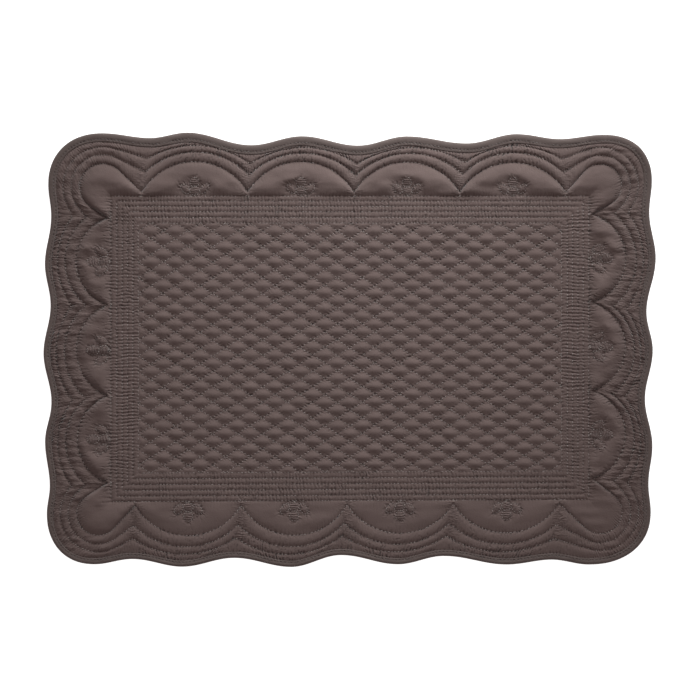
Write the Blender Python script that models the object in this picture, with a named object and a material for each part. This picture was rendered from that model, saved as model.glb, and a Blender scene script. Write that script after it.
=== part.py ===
"""A quilted cotton placemat with a waved, bound edge, lying flat.

The origin is under the middle of the mat, on the surface that it lies on. +X runs along the long side,
+Y to the far side and +Z up. Sizes are in millimetres here, and the meshes are in metres.

Seen from above, from the middle outwards: a field of diamonds, a frame of straight channels, and a border of
half-discs with two echo rows round them, which meets the binding at the edge.
"""

from collections import namedtuple
from math import acos, atan2, ceil, cos, exp, hypot, pi, sin

import bmesh
import bpy

MILLIMETRE = 0.001            # in metres
SIDES = 4                     # right, top, left, bottom: counter-clockwise seen from above

# How the wadding lifts the top cloth between two rows of quilting.
STITCH_HEIGHT = 2.0           # top cloth where a row of quilting holds it down
FULL_LOFT = 3.0               # its rise above that in the middle of a very wide puff
LOFT_WIDTH = 10.0             # width of a puff that rises to about two thirds of the full loft

# The waved outline, a row for each crest or valley: its place along the side, and how far out it lies.
# At a valley, tip is the place along the side where two half-discs meet.
# At a crest, rise is how far the half-disc below it reaches out from the frame.
Turn = namedtuple("Turn", "along out tip rise")
OUTLINE = (
    (   # right side, upwards
        Turn(-127.0, 236.1, None, None),
        Turn(-105.1, 234.3, -100.9, None),
        Turn(-75.3, 237.4, None, 28.6),
        Turn(-38.5, 231.6, -32.1, None),
        Turn(-0.2, 237.7, None, 28.6),
        Turn(29.5, 232.8, 37.4, None),
        Turn(71.8, 240.0, None, 29.0),
        Turn(107.8, 235.0, 105.8, None),
        Turn(132.1, 237.0, None, None),
    ),
    (   # top side, leftwards
        Turn(199.1, 168.6, None, None),
        Turn(164.6, 165.3, 169.5, None),
        Turn(131.0, 169.2, None, 26.2),
        Turn(91.8, 161.9, 86.2, None),
        Turn(44.9, 167.4, None, 26.6),
        Turn(6.5, 160.2, 3.4, None),
        Turn(-37.3, 167.5, None, 27.0),
        Turn(-77.2, 160.5, -79.9, None),
        Turn(-127.3, 170.3, None, 27.0),
        Turn(-156.3, 166.1, -163.0, None),
        Turn(-193.8, 169.8, None, None),
    ),
    (   # left side, downwards
        Turn(129.7, -236.3, None, None),
        Turn(104.7, -234.0, 103.0, None),
        Turn(67.1, -238.9, None, 27.4),
        Turn(35.0, -234.5, 35.1, None),
        Turn(-2.5, -240.0, None, 27.0),
        Turn(-40.9, -233.8, -36.2, None),
        Turn(-72.2, -238.8, None, 26.4),
        Turn(-106.6, -235.1, -104.4, None),
        Turn(-128.6, -237.4, None, None),
    ),
    (   # bottom side, rightwards
        Turn(-200.1, -168.2, None, None),
        Turn(-170.4, -164.1, -168.0, None),
        Turn(-131.2, -170.1, None, 27.0),
        Turn(-90.5, -163.2, -85.0, None),
        Turn(-45.9, -170.3, None, 27.0),
        Turn(-6.8, -161.0, -2.1, None),
        Turn(37.8, -168.2, None, 25.8),
        Turn(73.8, -161.7, 81.1, None),
        Turn(123.2, -168.4, None, 25.8),
        Turn(158.4, -164.6, 164.2, None),
        Turn(187.3, -168.4, None, None),
    ),
)
CORNER_SQUARENESS = 2.2       # exponent of the outline's corners: 2 is a round one
OUTLINE_STEPS = 12            # points that describe each rise, fall or corner before it is divided evenly

# The round puff in each corner, after the side with the same number: its middle and radius.
CornerPuff = namedtuple("CornerPuff", "x y radius")
CORNER_PUFFS = (
    CornerPuff(196.4, 128.8, 16.6),
    CornerPuff(-193.4, 127.6, 18.2),
    CornerPuff(-197.0, -128.6, 16.8),
    CornerPuff(196.2, -127.0, 17.2),
)
CORNER_EASE = 0.5             # radians over which a corner row that starts inside its round swings out to it

# The six straight rows of the frame, from the outside in. The mat's near edge dips a little to the left.
FrameRow = namedtuple("FrameRow", "left right bottom top")
FRAME = (
    FrameRow(-187.0, 187.3, -118.2, 120.3),
    FrameRow(-182.4, 182.9, -114.0, 116.4),
    FrameRow(-178.2, 178.8, -109.5, 112.2),
    FrameRow(-174.0, 174.6, -105.0, 108.0),
    FrameRow(-169.8, 170.5, -100.4, 103.6),
    FrameRow(-165.6, 166.1, -95.8, 99.2),
)
BOTTOM_DIP = 0.85             # how far the bottom rows drop at the left corner, and rise at the right one

# The field of diamonds, one diamond in each cell and one round each inner corner of the cells.
CELLS_ALONG = 17
CELLS_ACROSS = 16
RIDGE = 0.24                  # reach of a diamond's level ridge from its middle, as a share of its length

# The border's quilted rows: the one round each half-disc, and those that echo it on the way to the binding.
# at_crown and at_tip are shares of that way. corner_offset is the distance from the round puff in a corner.
BorderRow = namedtuple("BorderRow", "at_crown at_tip corner_offset")
PUFF_ROW = BorderRow(0.0, 0.0, 0.0)
ECHO_ROWS = (
    BorderRow(0.50, 0.45, 6.8),
    BorderRow(0.84, 0.74, 13.1),
)
TIP_RISE = 2.8                # from the frame to the tip where two half-discs meet
DISC_STEPS = (0.30, 0.70)     # points across a half-disc, as shares of the way from its straight side
CHANNEL_STEPS = (0.5,)        # points across a channel between two rows
SCALLOP_COLUMNS = 8
CORNER_COLUMNS = 12

# The small flower quilted low in each half-disc holds the wadding down there.
FLOWER_RISE = 7.0             # from the straight side to the flower's middle
FLOWER_REACH = 8.0
FLOWER_HOLD = 0.6             # share of the loft that it takes

# The panel's edge, inside the binding.
EDGE_INSET = 1.8              # from the outline to the panel's cut edge
EDGE_TOP = 1.8
EDGE_UNDER = 0.9
TOP_FREE = 7.0                # from the outline to where the top cloth leaves the binding
UNDER_FREE = 7.4              # and the backing
UNDER_FLAT = 9.6              # from the outline to where the backing lies on the surface

# The binding's section, once round it from the under leaf: distance in from the outline, and height.
Section = namedtuple("Section", "inset height")
BINDING = (
    Section(7.0, 0.0),        # under leaf, its free edge
    Section(1.3, 0.0),
    Section(0.0, 1.2),        # the fold
    Section(0.6, 2.5),
    Section(2.1, 3.2),        # crown of the roll
    Section(4.1, 2.5),        # row of edge stitching
    Section(5.3, 2.9),        # ridge beside it
    Section(6.5, 2.6),        # upper leaf, its free edge
    Section(6.5, 2.1),
    Section(1.5, 2.1),        # inside the fold
    Section(1.5, 0.6),
    Section(7.0, 0.6),
)

CLOTH_COLOUR = (0.142, 0.106, 0.098, 1.0)
BINDING_COLOUR = (0.128, 0.098, 0.090, 1.0)
CLOTH_ROUGHNESS = 0.9


def between(start, end, share):
    return tuple(a + (b - a) * share for a, b in zip(start, end))


def distance(start, end):
    return hypot(end[0] - start[0], end[1] - start[1])


def moved(point, direction, reach):
    return (point[0] + direction[0] * reach, point[1] + direction[1] * reach)


def loft(width):
    """Rise of the top cloth in the middle of a puff of this width."""
    return FULL_LOFT * (1.0 - exp(-width / LOFT_WIDTH))


# ---- the outline -----------------------------------------------------------------------------------------

def side_point(side, along, out):
    return (out, along) if side % 2 == 0 else (along, out)


def wave(side, start, end):
    """A soft rise or fall from one turn of the outline to the next, without its last point."""
    points = []
    for step in range(OUTLINE_STEPS):
        share = step / OUTLINE_STEPS
        eased = (1.0 - cos(pi * share)) / 2.0
        along = start.along + (end.along - start.along) * share
        points.append(side_point(side, along, start.out + (end.out - start.out) * eased))
    return points


def corner(side):
    """The rounded corner after a side, without its last point."""
    last = OUTLINE[side][-1]
    first = OUTLINE[(side + 1) % SIDES][0]
    middle = side_point(side, last.along, first.along)
    start = side_point(side, last.along, last.out)
    end = side_point(side + 1, first.along, first.out)
    points = []
    for step in range(OUTLINE_STEPS):
        angle = pi / 2.0 * step / OUTLINE_STEPS
        to_start = cos(angle) ** (2.0 / CORNER_SQUARENESS)
        to_end = sin(angle) ** (2.0 / CORNER_SQUARENESS)
        points.append(tuple(m + (a - m) * to_start + (b - m) * to_end for m, a, b in zip(middle, start, end)))
    return points


def divided(points, count):
    """Evenly spaced points along a line of points, without its last one."""
    lengths = [distance(a, b) for a, b in zip(points, points[1:])]
    spacing = sum(lengths) / count
    result = []
    walked = 0.0
    for start, end, length in zip(points, points[1:], lengths):
        while len(result) < count and len(result) * spacing < walked + length:
            result.append(between(start, end, (len(result) * spacing - walked) / length))
        walked += length
    return result


def scallop_outline(side, valley):
    turns = OUTLINE[side][valley:valley + 3]
    points = wave(side, turns[0], turns[1]) + wave(side, turns[1], turns[2])
    points.append(side_point(side, turns[2].along, turns[2].out))
    return divided(points, SCALLOP_COLUMNS)


def corner_outline(side):
    following = (side + 1) % SIDES
    before = OUTLINE[side][-2:]
    after = OUTLINE[following][:2]
    points = wave(side, before[0], before[1]) + corner(side) + wave(following, after[0], after[1])
    points.append(side_point(following, after[1].along, after[1].out))
    return divided(points, CORNER_COLUMNS)


def inset(ring, reach):
    """A closed ring of points moved inwards."""
    result = []
    for before, point, after in zip(ring[-1:] + ring[:-1], ring, ring[1:] + ring[:1]):
        length = distance(before, after)
        inward = ((before[1] - after[1]) / length, (after[0] - before[0]) / length)
        result.append(moved(point, inward, reach))
    return result


# ---- the frame and the field -----------------------------------------------------------------------------

def frame_corners(row):
    return (
        (row.right, row.bottom + BOTTOM_DIP),
        (row.right, row.top),
        (row.left, row.top),
        (row.left, row.bottom - BOTTOM_DIP),
    )


def frame_point(row, place):
    """A point on a row of the frame. Its place counts the sides from the bottom right corner."""
    corners = frame_corners(row)
    side = int(place) % SIDES
    return between(corners[side], corners[(side + 1) % SIDES], place - int(place))


def field_point(across, along):
    """A point of the diamond field, as shares of its width and height from the bottom left corner."""
    bottom_right, top_right, top_left, bottom_left = frame_corners(FRAME[-1])
    bottom = between(bottom_left, bottom_right, across)
    top = between(top_left, top_right, across)
    return between(bottom, top, along)


def tip_place(side, turn):
    """Where along the frame's outer row a tip between two half-discs stands."""
    corners = frame_corners(FRAME[0])
    axis = 1 - side % 2
    start = corners[side][axis]
    end = corners[(side + 1) % SIDES][axis]
    return side + (turn.tip - start) / (end - start)


def outward(side):
    return ((1, 0), (0, 1), (-1, 0), (0, -1))[side]


# ---- the border's sectors, one for each half-disc and corner ---------------------------------------------

def bow(start, end, crown, count):
    """Points on the round arc from start to end that is as high as crown at its middle."""
    chord = distance(start, end)
    along = ((end[0] - start[0]) / chord, (end[1] - start[1]) / chord)
    out = (along[1], -along[0])
    rise = (crown[0] - start[0]) * out[0] + (crown[1] - start[1]) * out[1]
    radius = (chord * chord / 4.0 + rise * rise) / (2.0 * rise)
    half_angle = acos(1.0 - rise / radius)
    foot = between(start, end, 0.5)
    points = []
    for step in range(count + 1):
        angle = half_angle * (2.0 * step / count - 1.0)
        point = moved(foot, along, radius * sin(angle))
        points.append(moved(point, out, rise - radius * (1.0 - cos(angle))))
    return points


def round_the_corner(start, end, puff, radius, count):
    """Points from start round a corner puff to end: straight to the round, along it, and straight again."""
    middle = (puff.x, puff.y)
    first = atan2(start[1] - middle[1], start[0] - middle[0])
    last = atan2(end[1] - middle[1], end[0] - middle[0])
    last += 2.0 * pi * ceil((first - last) / (2.0 * pi))
    reaches = [distance(middle, start), distance(middle, end)]
    eases = [acos(radius / reach) if reach > radius else CORNER_EASE for reach in reaches]
    points = []
    steps = count * OUTLINE_STEPS
    for step in range(steps + 1):
        angle = first + (last - first) * step / steps
        reach = radius
        for tip_reach, ease, turned in zip(reaches, eases, (angle - first, last - angle)):
            left = max(0.0, 1.0 - turned / ease)
            if tip_reach > radius:
                reach *= 1.0 / cos(ease * left)
            else:
                reach -= (radius - tip_reach) * left * left
        points.append(moved(middle, (cos(angle), sin(angle)), reach))
    return divided(points, count) + [end]


class Sector:
    """One slice of the border, from one tip to the next, with its rows from the frame to the binding."""

    def __init__(self, places, tips, crown, puff, flower, free_row):
        self.places = places
        self.base = [frame_point(FRAME[0], place) for place in places]
        self.flower = flower
        count = len(places) - 1
        middle = count // 2
        self.rows = []
        for row in (PUFF_ROW,) + ECHO_ROWS:
            start = between(tips[0], free_row[0], row.at_tip)
            end = between(tips[1], free_row[-1], row.at_tip)
            if puff:
                self.rows.append(round_the_corner(start, end, puff, puff.radius + row.corner_offset, count))
            else:
                self.rows.append(bow(start, end, between(crown, free_row[middle], row.at_crown), count))
        self.rows.append(free_row)

    def height(self, point, width, share):
        """Height of the top cloth at a share of the way across a puff of this width."""
        rise = loft(width) * (1.0 - abs(2.0 * share - 1.0) ** 3)
        if self.flower:
            near = exp(-(distance(point, self.flower) / FLOWER_REACH) ** 2)
            rise *= 1.0 - FLOWER_HOLD * near
        return STITCH_HEIGHT + rise


def lay_out_sectors():
    """The sectors of the border in order, and the outline with a point for each of their columns."""
    plans = []
    outline = []
    for side in range(SIDES):
        turns = OUTLINE[side]
        valleys = range(1, len(turns) - 1, 2)
        for valley in valleys[:-1]:
            plans.append((side, valley, len(outline), SCALLOP_COLUMNS))
            outline += scallop_outline(side, valley)
        plans.append((side, valleys[-1], len(outline), CORNER_COLUMNS))
        outline += corner_outline(side)
    free = inset(outline, TOP_FREE)
    sectors = []
    for side, valley, first, count in plans:
        free_row = [free[(first + step) % len(free)] for step in range(count + 1)]
        turns = OUTLINE[side]
        start = tip_place(side, turns[valley])
        if valley + 2 < len(turns):
            end = tip_place(side, turns[valley + 2])
            places = [start + (end - start) * step / count for step in range(count + 1)]
            foot = frame_point(FRAME[0], (start + end) / 2.0)
            crown = moved(foot, outward(side), turns[valley + 1].rise)
            flower = moved(foot, outward(side), FLOWER_RISE)
            ends = (side, side)
            puff = None
        else:
            following = (side + 1) % SIDES
            end = side + 1 + tip_place(following, OUTLINE[following][1]) - following
            half = count // 2
            places = [start + (side + 1 - start) * step / half for step in range(half)]
            places += [side + 1 + (end - side - 1) * step / half for step in range(half + 1)]
            crown = None
            flower = None
            ends = (side, following)
            puff = CORNER_PUFFS[side]
        tips = [moved(frame_point(FRAME[0], place), outward(end_side), TIP_RISE)
                for place, end_side in zip((start, end), ends)]
        sectors.append(Sector(places, tips, crown, puff, flower, free_row))
    return sectors, outline


# ---- meshes ----------------------------------------------------------------------------------------------

class Cloth:
    """A mesh under way, with its points in millimetres."""

    def __init__(self):
        self.mesh = bmesh.new()

    def vertex(self, point, height):
        return self.mesh.verts.new([size * MILLIMETRE for size in (*point, height)])

    def ring(self, places, points, heights):
        """A closed ring of vertices, each with its place round the mat."""
        return [(place, self.vertex(point, height)) for place, point, height in zip(places, points, heights)]

    def level_ring(self, places, points, height):
        return self.ring(places, points, [height] * len(points))

    def join(self, first, second):
        """Triangles between two closed rings, the second outside the first or below it."""
        done_first = 0
        done_second = 0
        while done_first < len(first) or done_second < len(second):
            here = first[done_first % len(first)]
            there = second[done_second % len(second)]
            next_here = first[(done_first + 1) % len(first)]
            next_there = second[(done_second + 1) % len(second)]
            here_ends = next_here[0] + SIDES * ((done_first + 1) // len(first))
            there_ends = next_there[0] + SIDES * ((done_second + 1) // len(second))
            if done_second == len(second) or (done_first < len(first) and here_ends <= there_ends):
                self.mesh.faces.new((here[1], there[1], next_here[1]))
                done_first += 1
            else:
                self.mesh.faces.new((here[1], there[1], next_there[1]))
                done_second += 1

    def node(self, name, material):
        """The finished object, its doubled points merged."""
        bmesh.ops.remove_doubles(self.mesh, verts=self.mesh.verts, dist=1e-6)
        bmesh.ops.triangulate(self.mesh, faces=self.mesh.faces)
        data = bpy.data.meshes.new(name)
        self.mesh.to_mesh(data)
        self.mesh.free()
        data.materials.append(material)
        node = bpy.data.objects.new(name, data)
        bpy.context.scene.collection.objects.link(node)
        return node


def add_diamonds(cloth):
    """Diamonds held down along their sides, with a level ridge, and their halves along the frame."""
    bottom_right, top_right, top_left, bottom_left = frame_corners(FRAME[-1])
    length = (bottom_right[0] - bottom_left[0]) / CELLS_ALONG
    width = (top_left[1] - bottom_left[1]) / CELLS_ACROSS
    crown = STITCH_HEIGHT + loft(length * width / hypot(length, width))
    for double_x in range(2 * CELLS_ALONG + 1):
        for double_y in range(double_x % 2, 2 * CELLS_ACROSS + 1, 2):
            offsets = ((1, 0), (0, 1), (-1, 0), (0, -1))
            around = [(double_x + dx, double_y + dy) for dx, dy in offsets]
            inside = [(x, y) for x, y in around if 0 <= x <= 2 * CELLS_ALONG and 0 <= y <= 2 * CELLS_ACROSS]
            shares = [(x / (2.0 * CELLS_ALONG), y / (2.0 * CELLS_ACROSS)) for x, y in inside]
            if len(inside) == len(around):
                add_whole_diamond(cloth, shares, crown)
            else:
                middle = (double_x / (2.0 * CELLS_ALONG), double_y / (2.0 * CELLS_ACROSS))
                add_part_diamond(cloth, shares, middle, len(inside) == 2, crown)


def add_whole_diamond(cloth, shares, crown):
    right, top, left, bottom = [cloth.vertex(field_point(*share), STITCH_HEIGHT) for share in shares]
    ridge_right = cloth.vertex(field_point(*between(shares[2], shares[0], 0.5 + RIDGE)), crown)
    ridge_left = cloth.vertex(field_point(*between(shares[2], shares[0], 0.5 - RIDGE)), crown)
    for face in (
        (right, top, ridge_right),
        (top, ridge_left, ridge_right),
        (top, left, ridge_left),
        (left, bottom, ridge_left),
        (bottom, ridge_right, ridge_left),
        (bottom, right, ridge_right),
    ):
        cloth.mesh.faces.new(face)


def add_part_diamond(cloth, shares, middle, in_corner, crown):
    """A half diamond, or a quarter in a corner, with its straight side on the frame's inner row."""
    if in_corner:
        shares = shares + [middle]
    centre = tuple(sum(values) / len(shares) for values in zip(*shares))
    corners = sorted(shares, key=lambda share: atan2(share[1] - centre[1], share[0] - centre[0]))
    peak = cloth.vertex(field_point(*centre), (STITCH_HEIGHT + crown) / 2.0)
    ring = [cloth.vertex(field_point(*share), STITCH_HEIGHT) for share in corners]
    for start, end in zip(ring, ring[1:] + ring[:1]):
        cloth.mesh.faces.new((start, end, peak))


def frame_places():
    """Places round the frame that meet the diamonds' corners, and the frame's own corners."""
    places = []
    for side in range(SIDES):
        cells = CELLS_ACROSS if side % 2 == 0 else CELLS_ALONG
        places.append(float(side))
        places += [side + (cell + 0.5) / cells for cell in range(cells)]
    return places


def add_frame(cloth):
    """The frame's rows and the channels between them, from the field outwards. Returns the last ring."""
    places = frame_places()
    lines = FRAME[::-1]
    ring = cloth.level_ring(places, [frame_point(lines[0], place) for place in places], STITCH_HEIGHT)
    for inner, outer in zip(lines, lines[1:]):
        crown = STITCH_HEIGHT + loft(outer.right - inner.right)
        starts = [frame_point(inner, place) for place in places]
        ends = [frame_point(outer, place) for place in places]
        crest = cloth.level_ring(places, [between(a, b, 0.5) for a, b in zip(starts, ends)], crown)
        cloth.join(ring, crest)
        ring = crest
        if outer != lines[-1]:
            row = cloth.level_ring(places, ends, STITCH_HEIGHT)
            cloth.join(ring, row)
            ring = row
    return ring


def add_border(cloth, ring, sectors):
    """The half-discs and the echo rows round them, from the frame outwards. Returns the last ring."""
    places = [place for sector in sectors for place in sector.places[:-1]]
    order = sorted(range(len(places)), key=lambda column: places[column] % SIDES)
    places = [places[column] % SIDES for column in order]

    def closed(points_of):
        values = [value for sector in sectors for value in points_of(sector)[:-1]]
        return [values[column] for column in order]

    base = cloth.level_ring(places, closed(lambda sector: sector.base), STITCH_HEIGHT)
    cloth.join(ring, base)
    ring = base
    for band in range(len(ECHO_ROWS) + 2):
        for share in DISC_STEPS if band == 0 else CHANNEL_STEPS:

            def puffed(sector):
                inner = sector.rows[band - 1] if band else sector.base
                outer = sector.rows[band]
                points = [between(a, b, share) for a, b in zip(inner, outer)]
                return [(point, sector.height(point, distance(a, b), share))
                        for point, a, b in zip(points, inner, outer)]

            points, heights = zip(*closed(puffed))
            crest = cloth.ring(places, points, heights)
            cloth.join(ring, crest)
            ring = crest
        height = EDGE_TOP if band == len(ECHO_ROWS) + 1 else STITCH_HEIGHT
        row = cloth.level_ring(places, closed(lambda sector: sector.rows[band]), height)
        cloth.join(ring, row)
        ring = row
    return ring, order


def quilted_panel(sectors, outline, material):
    cloth = Cloth()
    add_diamonds(cloth)
    ring, order = add_border(cloth, add_frame(cloth), sectors)
    places = [place for place, vertex in ring]
    for reach, height in (
        (EDGE_INSET, EDGE_TOP),
        (EDGE_INSET, EDGE_UNDER),
        (UNDER_FREE, EDGE_UNDER),
        (UNDER_FLAT, 0.0),
    ):
        points = inset(outline, reach)
        following = cloth.level_ring(places, [points[column] for column in order], height)
        cloth.join(ring, following)
        ring = following
    cloth.mesh.faces.new([vertex for place, vertex in reversed(ring)])
    return cloth.node("quilted_panel", material)


def binding(outline, material):
    cloth = Cloth()
    places = [SIDES * column / len(outline) for column in range(len(outline))]
    rings = [cloth.level_ring(places, inset(outline, part.inset), part.height) for part in BINDING]
    for ring, following in zip(rings, rings[1:] + rings[:1]):
        cloth.join(following, ring)
    return cloth.node("binding", material)


def cloth_material(name, colour):
    material = bpy.data.materials.new(name)
    material.use_nodes = True
    shader = material.node_tree.nodes["Principled BSDF"]
    shader.inputs["Base Color"].default_value = colour
    shader.inputs["Roughness"].default_value = CLOTH_ROUGHNESS
    shader.inputs["Metallic"].default_value = 0.0
    material.diffuse_color = colour
    return material


def main():
    for item in list(bpy.data.objects):
        bpy.data.objects.remove(item, do_unlink=True)
    sectors, outline = lay_out_sectors()
    quilted_panel(sectors, outline, cloth_material("quilted_cloth", CLOTH_COLOUR))
    binding(outline, cloth_material("binding_cloth", BINDING_COLOUR))


main()
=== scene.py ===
"""The quilted cotton placemat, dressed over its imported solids.

The mat lies flat under a camera that looks straight down. Lengths are in millimetres, and become metres where a
mesh is made. The quilted cloth is one closed mesh, woven out of closed rings that follow the rows of quilting.
Its binding and its stitches are pieces of their own.

Sides count from 0: right, top, left and bottom, counter-clockwise. A place on a ring is a side's number plus the
share of that side behind it, from the bottom right corner.
"""

from collections import namedtuple
from functools import partial
from math import acos, atan2, ceil, cos, hypot, pi, radians, sin

import bpy
import numpy as np
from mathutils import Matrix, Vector
from mathutils.bvhtree import BVHTree


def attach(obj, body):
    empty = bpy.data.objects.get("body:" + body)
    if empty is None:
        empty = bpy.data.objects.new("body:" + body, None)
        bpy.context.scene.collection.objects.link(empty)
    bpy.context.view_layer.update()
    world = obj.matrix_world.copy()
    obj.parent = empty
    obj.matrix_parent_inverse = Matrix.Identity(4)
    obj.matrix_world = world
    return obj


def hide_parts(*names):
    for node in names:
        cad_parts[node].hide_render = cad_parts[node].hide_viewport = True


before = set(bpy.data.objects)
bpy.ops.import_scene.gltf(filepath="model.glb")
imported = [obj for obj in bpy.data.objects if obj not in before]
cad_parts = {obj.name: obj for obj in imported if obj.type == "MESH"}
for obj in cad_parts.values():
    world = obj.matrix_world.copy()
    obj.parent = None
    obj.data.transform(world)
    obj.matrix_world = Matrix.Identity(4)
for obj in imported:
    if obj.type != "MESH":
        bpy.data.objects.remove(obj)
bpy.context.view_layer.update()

MILLIMETRE = 0.001            # in metres
SIDES = 4
OUTWARD = np.array([(1.0, 0.0), (0.0, 1.0), (-1.0, 0.0), (0.0, -1.0)])     # away from the mat, for each side
ONWARD = np.array([(0.0, 1.0), (-1.0, 0.0), (0.0, -1.0), (1.0, 0.0)])      # along each side
Round = namedtuple("Round", "right top_right top top_left left bottom_left bottom bottom_right")

# ---- the sizes that the solids have too --------------------------------------------------------------------

STITCH_HEIGHT = 2.0           # top cloth where a row of quilting holds it down
FULL_LOFT = 3.0               # its rise above that in the middle of a very wide puff
LOFT_WIDTH = 10.0             # width of a puff that rises to about two thirds of the full loft

# A turn of the outline: a valley, with where the border's rows have their tip, a crown, with its half-disc's rise, or
# one beside a corner, with neither.
Turn = namedtuple("Turn", "along out tip rise", defaults=(None, None))
OUTLINE = (
    (   # right side, upwards
        Turn(-127.0, 236.1),
        Turn(-105.1, 234.3, tip=-100.9),
        Turn(-75.3, 237.4, rise=28.6),
        Turn(-38.5, 231.6, tip=-32.1),
        Turn(-0.2, 237.7, rise=28.6),
        Turn(29.5, 232.8, tip=37.4),
        Turn(71.8, 240.0, rise=29.0),
        Turn(107.8, 235.0, tip=105.8),
        Turn(132.1, 237.0),
    ),
    (   # top side, leftwards
        Turn(199.1, 168.6),
        Turn(164.6, 165.3, tip=169.5),
        Turn(131.0, 169.2, rise=26.2),
        Turn(91.8, 161.9, tip=86.2),
        Turn(44.9, 167.4, rise=26.6),
        Turn(6.5, 160.2, tip=3.4),
        Turn(-37.3, 167.5, rise=27.0),
        Turn(-77.2, 160.5, tip=-79.9),
        Turn(-127.3, 170.3, rise=27.0),
        Turn(-156.3, 166.1, tip=-163.0),
        Turn(-193.8, 169.8),
    ),
    (   # left side, downwards
        Turn(129.7, -236.3),
        Turn(104.7, -234.0, tip=103.0),
        Turn(67.1, -238.9, rise=27.4),
        Turn(35.0, -234.5, tip=35.1),
        Turn(-2.5, -240.0, rise=27.0),
        Turn(-40.9, -233.8, tip=-36.2),
        Turn(-72.2, -238.8, rise=26.4),
        Turn(-106.6, -235.1, tip=-104.4),
        Turn(-128.6, -237.4),
    ),
    (   # bottom side, rightwards
        Turn(-200.1, -168.2),
        Turn(-170.4, -164.1, tip=-168.0),
        Turn(-131.2, -170.1, rise=27.0),
        Turn(-90.5, -163.2, tip=-85.0),
        Turn(-45.9, -170.3, rise=27.0),
        Turn(-6.8, -161.0, tip=-2.1),
        Turn(37.8, -168.2, rise=25.8),
        Turn(73.8, -161.7, tip=81.1),
        Turn(123.2, -168.4, rise=25.8),
        Turn(158.4, -164.6, tip=164.2),
        Turn(187.3, -168.4),
    ),
)
CORNER_SQUARENESS = 2.2

CornerPuff = namedtuple("CornerPuff", "x y radius")
CORNER_PUFFS = (
    CornerPuff(196.4, 128.8, 16.6),
    CornerPuff(-193.4, 127.6, 18.2),
    CornerPuff(-197.0, -128.6, 16.8),
    CornerPuff(196.2, -127.0, 17.2),
)
CORNER_EASE = 0.5             # the turn, in radians, that eases a corner's row out to a tip inside its round

FrameRow = namedtuple("FrameRow", "left right bottom top")
FRAME = (
    FrameRow(-187.0, 187.3, -118.2, 120.3),
    FrameRow(-182.4, 182.9, -114.0, 116.4),
    FrameRow(-178.2, 178.8, -109.5, 112.2),
    FrameRow(-174.0, 174.6, -105.0, 108.0),
    FrameRow(-169.8, 170.5, -100.4, 103.6),
    FrameRow(-165.6, 166.1, -95.8, 99.2),
)
MIDDLE_ROW = FRAME[len(FRAME) // 2]
CHANNEL_WIDTH = 4.3           # from one row to the next, about
BOTTOM_DIP = 0.85             # how far the frame's bottom rows run downhill to the left, each way from their middle

CELLS_ALONG = 17
CELLS_ACROSS = 16

# Where a border row runs: its share of the way out to the binding over a half-disc and at a tip, and its distance
# from a corner's puff.
BorderRow = namedtuple("BorderRow", "at_crown at_tip corner_offset")
PUFF_ROW = BorderRow(0.0, 0.0, 0.0)
BORDER_ROWS = (PUFF_ROW, BorderRow(0.50, 0.45, 6.8), BorderRow(0.84, 0.74, 13.1))
TIP_RISE = 2.8                # from the frame's outer row to the tips

EDGE_INSET = 1.8              # from the outline to the cloth's edge inside the binding
EDGE_TOP = 1.97
EDGE_UNDER = 0.9
TOP_FREE = 7.0                # from the outline to the line that the border's rows are measured to
UNDER_FREE = 7.3              # from the outline to where the backing starts to thin towards its edge
UNDER_EDGE = 7.7

# The binding's section, once round it from the under leaf: distance in from the outline, and height.
BINDING = (
    (7.0, 0.0), (4.0, 0.0), (1.3, 0.0), (0.35, 0.4),
    (0.0, 1.05), (0.15, 1.55), (0.6, 2.05), (1.4, 2.4), (2.3, 2.56), (3.2, 2.59), (4.1, 2.49),
    (4.9, 2.35), (5.5, 2.38), (6.1, 2.35), (6.6, 2.29), (7.0, 2.19), (7.0, 2.0),
    (1.5, 2.1), (1.5, 0.6), (7.0, 0.6),
)
UPPER_LEAF = range(4, 17)     # the part of its section above the panel
ROLL = range(4, 15)           # the part of it that makes its upper face
BINDING_STITCHING = 4.9       # from the outline to its row of stitches
BINDING_EDGE = 7.1            # from the outline to where the top cloth comes out from under it
BINDING_SHOWN = Round(0.8, 0.95, 1.08, 0.95, 0.74, 0.7, 0.7, 0.74)         # share of its width that shows

# ---- how finely the cloth is woven out ---------------------------------------------------------------------

Detail = namedtuple("Detail", "cell frame_column border_column disc_column disc_steps frame_steps border_steps")
TOP = Detail(
    cell=5,                   # steps across half a cell of the field
    frame_column=(0.72, 0.94, 0.72, 0.94),
    border_column=1.08,
    disc_column=2.0,
    disc_steps=tuple(np.linspace(0.035, 0.965, 19)),
    frame_steps=(0.14, 0.5, 0.86),
    border_steps=((0.08, 0.34, 0.64, 0.9), (0.1, 0.36, 0.64, 0.9), (0.16, 0.5, 0.84)),
)
UNDER = Detail(
    cell=1,
    frame_column=(5.0, 5.0, 5.0, 5.0),
    border_column=5.0,
    disc_column=9.0,
    disc_steps=(0.25, 0.5, 0.75),
    frame_steps=(0.5,),
    border_steps=((0.5,), (0.5,), (0.5,)),
)
UNDER_LIFT = 0.5              # backing above the surface where a row of quilting pulls it up
OUTLINE_STEPS = 24            # from one turn of the outline to the next

# ---- the sewing --------------------------------------------------------------------------------------------

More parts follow.
